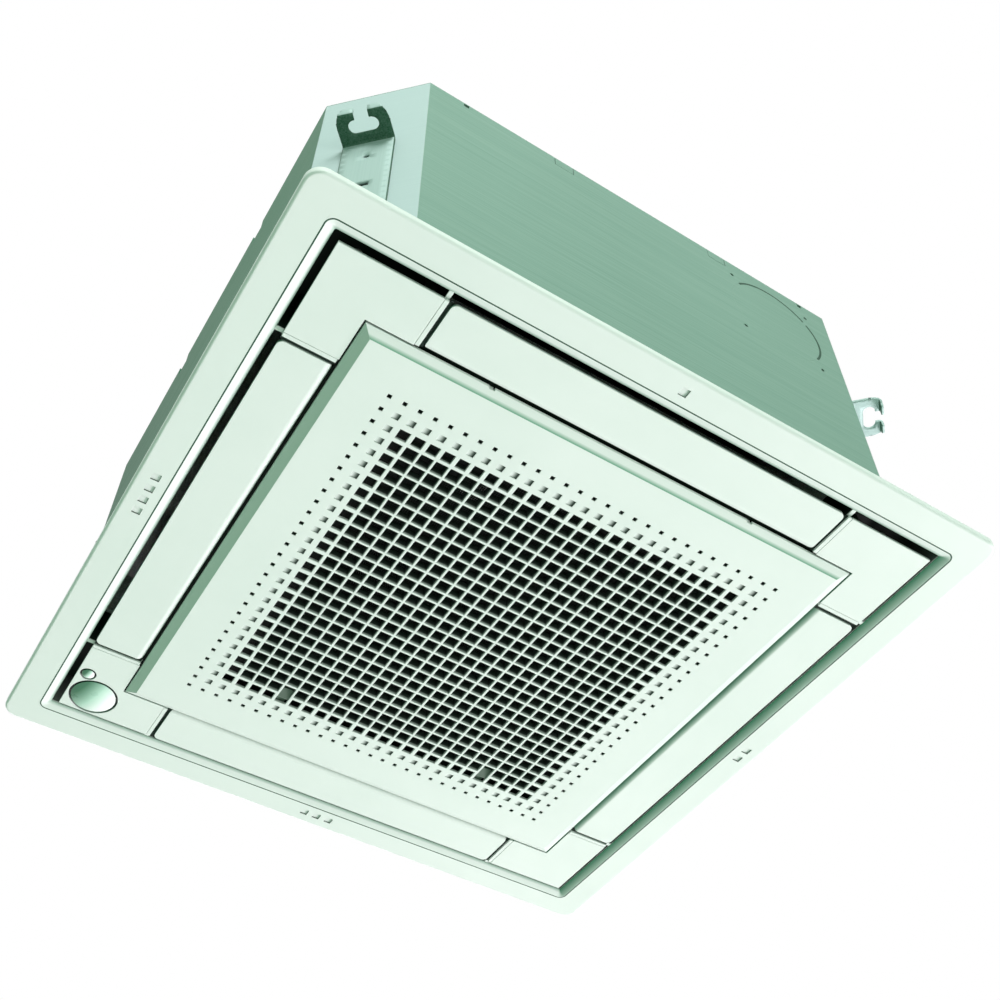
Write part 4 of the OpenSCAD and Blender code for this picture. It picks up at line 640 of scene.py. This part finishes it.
# Along the blank: straight leg, a quarter turn, the slotted plate, a second quarter turn and the lips
def makeHanger(node, corner, cut, lipUp):
    h = hanger
    t, half, lipHalf, mouth, round3 = h["thick"], h["half"], h["lipHalf"], h["mouth"], h["corner"]
    foldR, lipR = h["fold"], h["lipFold"]
    plane = chamferOut(cut)
    slotOut = h["rodOut"] - plane
    legEnd = h["plateLow"] + t / 2 - foldR - h["legLow"]
    plateStart = legEnd + foldR * math.pi / 2
    plateEnd = plateStart + slotOut + h["reach"] - t - lipR - foldR
    lipStart = plateEnd + lipR * math.pi / 2
    lipEnd = lipStart + h["lipTall"] - t / 2 - lipR
    slotV = plateStart + slotOut - t / 2 - foldR
    flatU, slotR = h["slot"]
    tipAngle = math.degrees(math.acos(lipHalf / half))
    right = np.concatenate((
        [(half - round3, 0)], arc(half - round3, round3, round3, -90, 0, 7),
        arc(0, slotV, half, 0, tipAngle, 14), [(lipHalf, plateEnd + lipR)],
        arc(lipHalf - round3, lipEnd - round3, round3, 0, 90, 7), arc(mouth + 1, lipEnd - 1, 1, 90, 180, 5),
        [(mouth, slotV + slotR)], arc(flatU, slotV, slotR, 90, -90, 16)))
    outline = resampled(np.concatenate((right, right[::-1] * (-1, 1))), h["edgeStep"])
    holeR, holeDown = h["legHole"]
    hole = arc(0, h["plateLow"] - holeDown - h["legLow"], holeR, 0, 345, 24)
    wide, tall, down = h["legSlot"]
    middle = h["plateLow"] - down - h["legLow"]
    slot = resampled(((-wide, middle - tall), (wide, middle - tall), (wide, middle + tall),
                      (-wide, middle + tall)), 1.5)

    def fold(u, v):
        a = np.clip((v - legEnd) / foldR, 0, np.pi / 2)
        b = np.clip((v - plateEnd) / lipR, 0, np.pi / 2)
        plate = np.clip(v - plateStart, 0, plateEnd - plateStart)
        out = plane + t / 2 + foldR * (1 - np.cos(a)) + plate + lipR * np.sin(b)
        lip = lipR * (1 - np.cos(b)) + np.clip(v - lipStart, 0, None)
        z = h["legLow"] + np.minimum(v, legEnd) + foldR * np.sin(a) + (lip if lipUp else -lip)
        return spun(np.stack((out, u, z), -1), 45 + 90 * corner)

    rows = np.concatenate((np.arange(8, legEnd - 3, 9), np.linspace(legEnd, plateStart, 9),
                           np.arange(plateStart + 3, plateEnd - 2, 5), np.linspace(plateEnd, lipStart, 7),
                           [(lipStart + lipEnd) / 2]))
    points, faces = foldedBlank((outline, hole, slot), np.linspace(-19, 19, 9), rows, fold)
    piece = makePiece(node + "Sheet", points, faces, hookZinc, "casing", (node,))
    wall = piece.modifiers.new("wall", "SOLIDIFY")
    wall.thickness, wall.offset = t * mm, 0


for corner, (place, (cut, lipUp)) in enumerate(hangerPlaces.items()):
    makeHanger("hanger_" + place, corner, cut, lipUp)
print("hangers")


# Screw heads: a dome over a polar grid with a cross sunk into its middle

screwHead = {"tall": 1.5, "armLong": 0.6, "armHalf": 0.16, "deep": 1.0, "rings": 12, "columns": 48}
topScrews = {"across": 186, "out": 275.5, "top": 295.0, "radius": 4.5}
plateScrews = {"face": 288.5, "y": 188, "z": 222.5, "apartY": 24, "apartZ": 40, "radius": 3.0}


def screwPart(place, axis, radius, turn):
    s = screwHead
    ring = np.concatenate((np.linspace(0.06, 0.86, s["rings"]), (0.93, 0.98, 1.0, 1.0)))[:, None]
    edge = np.concatenate((np.zeros(s["rings"]), (0.1, 0.35, 0.65, 1.0)))[:, None]
    angle = np.linspace(0, 2 * np.pi, s["columns"], endpoint=False)[None, :]
    x, y = ring * np.cos(angle + turn), ring * np.sin(angle + turn)
    narrow, wide = np.minimum(abs(x), abs(y)), np.maximum(abs(x), abs(y))
    sunk = np.clip((s["armHalf"] - narrow) / 0.07, 0, 1) * np.clip((s["armLong"] - wide) / 0.12, 0, 1)
    height = s["tall"] * (1 - 0.25 * ring ** 2) * (1 - edge) - s["deep"] * sunk
    grid = np.stack((radius * ring * np.cos(angle), radius * ring * np.sin(angle), height + 0 * angle), -1)
    rows, columns = grid.shape[:2]
    centre = ((0, 0, s["tall"] - s["deep"]), (0, 0, 0))
    points = np.concatenate((grid.reshape(-1, 3), centre)) @ np.array(axisFrames[axis], float) + place
    faces = gridFaces(rows, columns, wrapCols=True).tolist()
    j = np.arange(columns)
    faces += np.stack((j, (j + 1) % columns, 0 * j + rows * columns), -1).tolist()
    last = (rows - 1) * columns
    faces += np.stack((last + (j + 1) % columns, last + j, 0 * j + rows * columns + 1), -1).tolist()
    return points, faces


def makeScrews():
    parts = []
    for k in range(4):
        for s in (-1, 1):
            place = spun((s * topScrews["across"], -topScrews["out"], topScrews["top"]), 90 * k)
            parts.append(screwPart(place, "Z", topScrews["radius"], 0.4 + 1.1 * k + s))
    p = plateScrews
    for sy, sz in ((-1, -1), (1, -1), (1, 1), (-1, 1)):
        place = (p["face"], p["y"] + p["apartY"] * sy, p["z"] + p["apartZ"] * sz)
        parts.append(screwPart(place, "X", p["radius"], 0.7 * sy + sz))
    makePiece("casingScrewHeads", *gather(parts), zinc, "casing", ("casing_screws",))


makeScrews()
print("screws")


# Flare unions: hexagon with chamfered corners, then a helical thread and a flared mouth

unions = {
    "gasUnion": {"place": (0, 191, 240), "pipe": 6.4, "hex": 12.0, "thread": 9.5, "pitch": 1.6},
    "liquidUnion": {"place": (0, 180, 205), "pipe": 3.2, "hex": 8.0, "thread": 5.55, "pitch": 1.4},
}
unionSpan = {"back": 318.5, "step": 332.5, "front": 346.5, "depth": 325.4}


def unionPart(u):
    back, step, front = (unionSpan[key] for key in ("back", "step", "front"))
    hexLong = np.concatenate((np.linspace(back, back + 1.6, 5), (back + 5, step - 5),
                              np.linspace(step - 1.6, step - 0.2, 5)))
    threadLong = np.arange(step + 1.2, front - 0.6, u["pitch"] / 8)
    mouth, neck = 0.6 * u["thread"], u["thread"] - 0.9
    profile = np.concatenate((
        [(u["pipe"], unionSpan["depth"]), (u["pipe"], back + 0.2)],
        np.stack((0 * hexLong + u["hex"], hexLong), -1),
        [(neck, step - 0.1), (neck, step + 1.0)],
        np.stack((0 * threadLong + u["thread"], threadLong), -1),
        [(u["thread"] - 1.0, front - 0.3), (u["thread"] - 1.4, front), (mouth + 1.2, front - 0.2),
         (mouth, front - 2.2), (mouth, step + 2)]))

    def wobble(angle, along, radius):
        sector = (angle + np.pi / 6) % (np.pi / 3) - np.pi / 6
        flat = u["hex"] * math.cos(math.pi / 6) / np.cos(sector)
        chamfer = u["hex"] * 0.9 + np.minimum(along - back, step - along) * 1.6
        ridge = abs(((along / u["pitch"] - angle / (2 * np.pi)) % 1) * 2 - 1)
        fadeOut = np.clip((front - along) / 2, 0.3, 1)
        threaded = u["thread"] - 0.85 * ridge * fadeOut - 0.4 * (1 - fadeOut)
        shaped = np.where(radius == u["thread"], threaded, radius)
        return np.where(radius == u["hex"], np.minimum(flat, chamfer), shaped)

    return turned(profile, 72, u["place"], "X", wobble)


unionParts = [unionPart(u) for u in unions.values()]
makePiece("flareUnions", *gather(unionParts), brassX, "casing", ("pipe_nuts",), crease=40)
print("unions")


# Cable grommet: a soft lip round the hole and a thin cone for the lead

grommet = {"place": (287.5, -196, 62), "neck": 12.9, "lip": 16.0, "lipOut": 3.0, "hole": 2.4,
           "coneOut": 6.0, "columns": 64}


def makeGrommet():
    g = grommet
    hole, coneOut = g["hole"], g["coneOut"]
    base = np.array([(g["neck"], -1.2), (g["neck"], 0.05), (g["lip"], 0.05)])
    edge = arc(g["lip"] - 1.4, g["lipOut"] - 1.4, 1.4, 0, 90, 7)
    cone = np.array([(11.2, g["lipOut"]), (10.4, 2.2), (9.6, 2.0), (hole + 1.6, coneOut - 0.8),
                     (hole + 0.7, coneOut), (hole, coneOut - 0.5), (hole, coneOut - 1.4),
                     (8.6, 0.9), (9.0, -1.2)])
    loop = np.concatenate((base, edge, cone))
    angle = np.linspace(0, 2 * np.pi, g["columns"], endpoint=False)
    radius, out = loop[:, :1], loop[:, 1:] + 0 * angle
    grid = np.stack((out, radius * np.cos(angle), radius * np.sin(angle)), -1) + g["place"]
    faces = gridFaces(len(loop), g["columns"], wrapRows=True, wrapCols=True)
    makePiece("cableGrommet", grid, faces, blackRubber, "casing", ("cable_gland",), crease=50)


makeGrommet()
print("grommet")


# Filter net: two layers of fine threads, each a three sided rod

netting = {"half": 192.7, "pitch": 1.9, "thread": 0.42, "middle": -1.45, "apart": 0.3}


def threadLayer(alongX, level):
    n = netting
    at = np.arange(-n["half"] + n["pitch"] / 2, n["half"], n["pitch"])
    angle = np.radians((90, 210, 330))
    side, lift = n["thread"] * np.cos(angle), n["thread"] * np.sin(angle)
    ends = np.array((-n["half"], n["half"]))
    across, along, up = np.broadcast_arrays(at[:, None, None] + side, ends[None, :, None], level + lift)
    points = np.stack((along, across, up) if alongX else (across, along, up), -1)
    first = 6 * np.arange(len(at))[:, None, None]
    sides = np.array([(0, 1, 4, 3), (1, 2, 5, 4), (2, 0, 3, 5)])[None] + first
    caps = np.array([(0, 2, 1), (3, 4, 5)])[None] + first
    return points, sides.reshape(-1, 4).tolist() + caps.reshape(-1, 3).tolist()


netLayers = [threadLayer(True, netting["middle"] + netting["apart"]),
             threadLayer(False, netting["middle"] - netting["apart"])]
makePiece("filterThreads", *gather(netLayers), net, "grille", ("filter_net",), crease=80)
print("net")


# Pressed beads on the top plate: a raised cosine ridge along a line or round a ring

beads = {
    "top": 295.0, "tall": 2.6, "half": 9.0, "sink": 0.15, "ring": 118.0, "ringColumns": 144, "rows": 15,
    "lines": (((-150, -215), (150, -215)), ((-150, 215), (150, 215)), ((-215, -150), (-215, 150)),
              ((215, -150), (215, 150)), ((-175, -175), (-110, -110)), ((175, 175), (110, 110)),
              ((175, -175), (110, -110)), ((-175, 175), (-110, 110))),
}


def beadLine(start, end):
    b = beads
    start, end = np.array(start, float), np.array(end, float)
    length = np.linalg.norm(end - start)
    run = (end - start) / length
    side = np.array((-run[1], run[0]))
    wide = 2 * b["half"]
    endPart = np.linspace(0, 1, 9) * wide
    t = np.concatenate((endPart, np.linspace(wide, length - wide, 12)[1:-1], length - endPart[::-1]))[:, None]
    s = np.linspace(-1, 1, b["rows"])[None, :]
    nearEnd = np.clip(np.minimum(t, length - t) / wide, 0, 1)
    taper = np.sqrt(np.clip(1 - (1 - nearEnd) ** 2, 0, 1))
    across = s * b["half"] * np.maximum(taper, 0.02)
    height = b["tall"] * np.cos(np.pi * s / 2) ** 2 * np.sin(np.pi / 2 * nearEnd) ** 2 - b["sink"]
    place = start + t[..., None] * run + across[..., None] * side
    return np.concatenate((place, (b["top"] + height)[..., None]), -1), gridFaces(len(t), b["rows"])


def beadRing():
    b = beads
    s = np.linspace(-1, 1, b["rows"])[:, None]
    angle = np.linspace(0, 2 * np.pi, b["ringColumns"], endpoint=False)[None, :]
    radius = b["ring"] + s * b["half"]
    z = b["top"] + b["tall"] * np.cos(np.pi * s / 2) ** 2 - b["sink"] + 0 * angle
    grid = np.stack((radius * np.cos(angle), radius * np.sin(angle), z), -1)
    return grid, gridFaces(b["rows"], b["ringColumns"], wrapCols=True)


beadParts = [beadLine(*line) for line in beads["lines"]] + [beadRing()]
makePiece("topBeads", *gather(beadParts), sheetX, "casing", crease=60)
print("beads")


# The knock-out: bars along arcs that hold its disc, and dark strips between them, painted shade in its cut
# groove.
# A bar is a flat ring sector, its four edges carried round the centre.

bridges = {"centre": (145, 228), "outer": 50.7, "inner": 49.7, "spans": ((35, 40), (130, 325)),
           "front": -287.49, "thick": 0.85}
groove = {"centre": (145, 228), "outer": 51.5, "inner": 49.1, "spans": ((-34, 35), (40, 138)),
          "front": -287.56, "thick": 0.3}


def arcBar(b, start, end):
    columns = max(5, int((end - start) / 3))
    a = np.radians(np.linspace(start, end, columns))
    (x, z), front, back = b["centre"], b["front"], b["front"] + b["thick"]
    edges = ((b["inner"], front), (b["outer"], front), (b["outer"], back), (b["inner"], back))
    points = np.stack([np.stack((x + r * np.cos(a), 0 * a + y, z + r * np.sin(a)), -1) for r, y in edges])
    first = [row * columns for row in range(4)]
    last = [row * columns + columns - 1 for row in range(3, -1, -1)]
    return points, gridFaces(4, columns, wrapRows=True).tolist() + [first, last]


for name, item, material in (("knockoutBridges", bridges, sheetWall), ("knockoutGroove", groove, seamShadeGrey)):
    makePiece(name, *gather([arcBar(item, *ends) for ends in item["spans"]]), material, "casing")
print("knock-out")


# Rings round the panel: rows of (half width, corner radius, height) on rounded squares

def roundedSquare(half, radius, z, count=9):
    quarter = arc(half - radius, half - radius, radius, 0, 90, count)
    quarter = np.concatenate((quarter, np.full((count, 1), z)), -1)
    return np.concatenate([spun(quarter, degrees) for degrees in (0, 90, 180, 270)])


def ringPart(rows):
    grid = np.stack([roundedSquare(*row) for row in rows])
    return grid, gridFaces(len(rows), grid.shape[1], wrapRows=True, wrapCols=True)


well = {"face": -6.5, "edge": -2.5, "outer": 283.6, "inner": 275.7, "outerR": 6.5, "innerR": 1.5,
        "seamOut": 0.95, "seamIn": 0.15}


# A nearly straight slope from the flange's face up to the channel's edge, steeper inwards
def makeWellShoulder():
    w = well
    face, outer, inner = w["face"], w["outer"], w["inner"]
    t = np.linspace(0, 1, 9)
    z = face - 0.02 + (w["edge"] - face) * (0.72 * t + 0.28 * t ** 2)
    slope = list(zip(outer + (inner - outer) * t, w["outerR"] + (w["innerR"] - w["outerR"]) * t, z))
    rows = [(outer + 0.6, 0.4, face - 0.02)] + slope
    rows += [(inner + 0.9, w["innerR"], w["edge"] + 0.3), (outer + 0.6, 0.4, face + 0.5)]
    makePiece("wellShoulder", *ringPart(rows), shoulderWhite, "casing", crease=40)


# A dark ribbon along the edge of the well: a painted shadow line at the seam of flange and shoulder
def makeWellSeamShade():
    w = well
    far = (w["outer"] + w["seamOut"], w["outerR"] + w["seamOut"])
    by = (w["outer"] - w["seamIn"], w["outerR"] - w["seamIn"])
    low, high = w["face"] - 0.05, w["face"] + 0.2
    seam = [(*far, low), (*by, low), (*by, high), (*far, high)]
    makePiece("wellSeamShade", *ringPart(seam), seamShadeGrey, "casing")


makeWellShoulder()
makeWellSeamShade()
print("panel rings")


# Caps on the posts between louvres and covers, and black strips at the louvres' ends, painted shade in the gaps
# there

caps = {"low": -6.45, "high": -4.2, "inner": 227.0, "outer": 269.7, "from": 183.25, "to": 186.65}
endGapShades = {"low": -4.7, "high": -4.2, "inner": 227.0, "outer": 269.7, "from": 180.2, "to": 183.2}


def cornerBars(name, c, material):
    parts = []
    for k in range(4):
        for s in (-1, 1):
            low, high = sorted((s * c["from"], s * c["to"]))
            points, faces = boxPart((c["inner"], low, c["low"]), (c["outer"], high, c["high"]))
            parts.append((spun(points, 90 * k), faces))
    makePiece(name, *gather(parts), material, "casing")


cornerBars("postCaps", caps, panelWhite)
cornerBars("endGapShade", endGapShades, shadowBlack)


# Sensor lenses: a spherical cap, a small rim radius and a flange behind the cover's hole, painted black as
# shade

lenses = {
    "domeLens": {"node": "sensor_dome", "at": (-246.3, 247.0), "r": 19.7, "crown": 4.4, "flange": 22.0},
    "pipLens": {"node": "sensor_pip", "at": (-260.8, 221.0), "r": 5.5, "crown": 2.0, "flange": 7.5},
}
lensHeights = {"face": -6.5, "back": -4.0, "top": -2.0}


def makeLens(name, lens):
    face, back, top = (lensHeights[key] for key in ("face", "back", "top"))
    r, crown, flange = lens["r"], lens["crown"], lens["flange"]
    ballR = (r ** 2 + crown ** 2) / (2 * crown)
    rows = r * np.sin(np.radians(np.linspace(4, 88, 22)))
    cap = np.stack((rows, face - crown + ballR - np.sqrt(ballR ** 2 - rows ** 2)), -1)
    behind = [(r - 0.02, face + 0.3), (r - 0.02, back), (flange, back), (flange, top), (1.0, top)]
    points, faces = turned(np.concatenate((cap, behind)), 64, (*lens["at"], 0), "Z")
    makePiece(name, points, faces, lensWhite, "casing", (lens["node"],), crease=40)


for name, lens in lenses.items():
    makeLens(name, lens)


# Black discs and slots just behind the holes in the hangers' legs, painted shade where the holes look onto the
# chamfer

legHole = {"back": -0.2, "front": 0.4, "play": 0.05}


def makeLegHoleShade():
    h, play = hanger, legHole["play"]
    holeR, holeDown = h["legHole"]
    wide, tall, down = h["legSlot"]
    parts = []
    for corner, (cut, _) in enumerate(hangerPlaces.values()):
        back, front = chamferOut(cut) + legHole["back"], chamferOut(cut) + legHole["front"]
        profile = [(0.5, back), (holeR - play, back), (holeR - play, front), (0.5, front)]
        disc = turned(profile, 32, (0, 0, h["plateLow"] - holeDown), "X")
        slot = boxPart((back, -wide + play, h["plateLow"] - down - tall + play),
                       (front, wide - play, h["plateLow"] - down + tall - play))
        parts += [(spun(points, 45 + 90 * corner), faces) for points, faces in (disc, slot)]
    makePiece("legHoleShade", *gather(parts), shadowBlack, "casing")


makeLegHoleShade()
print("caps, lenses, leg holes")


# Camera, solved from the panel's corners and the casing's edges in the photo

photo = {"side": 1000, "focal": 1294.2, "middle": (491.0, 522.9)}  # pixels
eyeAt = (-0.4020, -0.6778, -0.7880)
cameraRight = (0.848227, -0.529627, 0.002436)
cameraUp = (-0.405421, -0.646332, 0.646443)
filmWide = 36


def placeCamera():
    side, (middleX, middleY) = photo["side"], photo["middle"]
    camera = bpy.data.cameras.new("camera")
    camera.sensor_width = filmWide
    camera.lens = filmWide * photo["focal"] / side
    camera.shift_x = (side / 2 - middleX) / side
    camera.shift_y = (middleY - side / 2) / side
    camera.clip_end = 50
    eye = bpy.data.objects.new("camera", camera)
    bpy.context.scene.collection.objects.link(eye)
    right, up = Vector(cameraRight), Vector(cameraUp)
    turn = Matrix((right, up, right.cross(up))).transposed()
    eye.matrix_world = Matrix.Translation(eyeAt) @ turn.to_4x4()
    bpy.context.scene.camera = eye


placeCamera()
print("camera")


# A wide pale floor under the unit, a world that is white to the eye and dimmer as light, and soft boxes

stage = {"half": 16.0, "height": -4.2, "floor": (0.62, 0.74, 0.66, 1), "rough": 0.8,
         "sky": (0.48, 1.0, 0.65, 1), "skyStrength": 0.38}
plain, faintRose, rose = (1, 1, 1), (1.0, 0.95, 0.98), (1.0, 0.885, 0.965)
lamps = {
    "keyLow": {"at": (6.0, 0.7, -3.4), "aimZ": 0, "size": (2.6, 2.6), "watts": 660, "color": rose},
    "keyFar": {"at": (1.9, 2.5, -1.9), "aimZ": 0, "size": (1.2, 1.2), "watts": 12, "color": faintRose},
    "frontSky": {"at": (-0.9, -2.3, 1.6), "aimZ": 0.15, "size": (1.8, 1.2), "watts": 62, "color": plain},
    "nearLow": {"at": (-0.5, -2.9, -1.3), "aimZ": 0, "size": (1.6, 1.0), "watts": 18, "color": plain},
    "topSky": {"at": (0.9, 0.9, 2.6), "aimZ": 0.2, "size": (2.2, 2.2), "watts": 34, "color": plain},
    "backSky": {"at": (0.5, 3.4, 1.1), "aimZ": 0.15, "size": (2.0, 1.4), "watts": 70,
                "color": (1.0, 0.86, 0.95)},
}


# How far a ray is one that the eye follows: straight, mirrored or through glass
def seenRay(tree):
    path = tree.nodes.new("ShaderNodeLightPath")
    total = path.outputs["Is Camera Ray"]
    for kind in ("Is Glossy Ray", "Is Transmission Ray"):
        node = tree.nodes.new("ShaderNodeMath")
        node.operation, node.use_clamp = "ADD", True
        tree.links.new(total, node.inputs[0])
        tree.links.new(path.outputs[kind], node.inputs[1])
        total = node.outputs[0]
    return total


# Pale green as light on the unit, white to the eye
def floorMaterial(name, color, rough):
    g = Graph(name)
    g.finish(g.mix(g.span(g.noise(1.5, 2.0), 0.3, 0.7), color, shaded(color, 0.99)), rough)
    white, mix = g.add("ShaderNodeEmission"), g.add("ShaderNodeMixShader")
    g.link(seenRay(g.tree), mix.inputs[0])
    g.link(g.shader.outputs[0], mix.inputs[1])
    g.link(white.outputs[0], mix.inputs[2])
    g.link(mix.outputs[0], g.out.inputs["Surface"])
    return g.material


def placeFloor():
    half, height = stage["half"], stage["height"]
    mesh = bpy.data.meshes.new("floor")
    corners = [(x * half, y * half, height) for x, y in ((-1, -1), (1, -1), (1, 1), (-1, 1))]
    mesh.from_pydata(corners, [], [(0, 1, 2, 3)])
    mesh.materials.append(floorMaterial("floorPale", stage["floor"], stage["rough"]))
    floor = bpy.data.objects.new("floor", mesh)
    bpy.context.scene.collection.objects.link(floor)


def placeWorld():
    world = bpy.data.worlds.new("world")
    world.use_nodes = True
    tree = world.node_tree
    tree.nodes.clear()
    out, mix = tree.nodes.new("ShaderNodeOutputWorld"), tree.nodes.new("ShaderNodeMixShader")
    seen, given = tree.nodes.new("ShaderNodeBackground"), tree.nodes.new("ShaderNodeBackground")
    seen.inputs["Color"].default_value = (1, 1, 1, 1)
    given.inputs["Color"].default_value = stage["sky"]
    given.inputs["Strength"].default_value = stage["skyStrength"]
    tree.links.new(seenRay(tree), mix.inputs[0])
    tree.links.new(given.outputs[0], mix.inputs[1])
    tree.links.new(seen.outputs[0], mix.inputs[2])
    tree.links.new(mix.outputs[0], out.inputs["Surface"])
    bpy.context.scene.world = world


def softBox(name, box):
    lamp = bpy.data.lights.new(name, "AREA")
    lamp.shape = "RECTANGLE"
    lamp.size, lamp.size_y = box["size"]
    lamp.energy, lamp.color = box["watts"], box["color"]
    holder = bpy.data.objects.new(name, lamp)
    holder.location = box["at"]
    holder.rotation_mode = "QUATERNION"
    aim = Vector((0, 0, box["aimZ"])) - Vector(box["at"])
    holder.rotation_quaternion = aim.to_track_quat("-Z", "Y")
    bpy.context.scene.collection.objects.link(holder)


placeFloor()
placeWorld()
for name, box in lamps.items():
    softBox(name, box)
bpy.context.scene.view_settings.view_transform = "Standard"
bpy.context.scene.view_settings.look = "None"
print("stage and lamps")
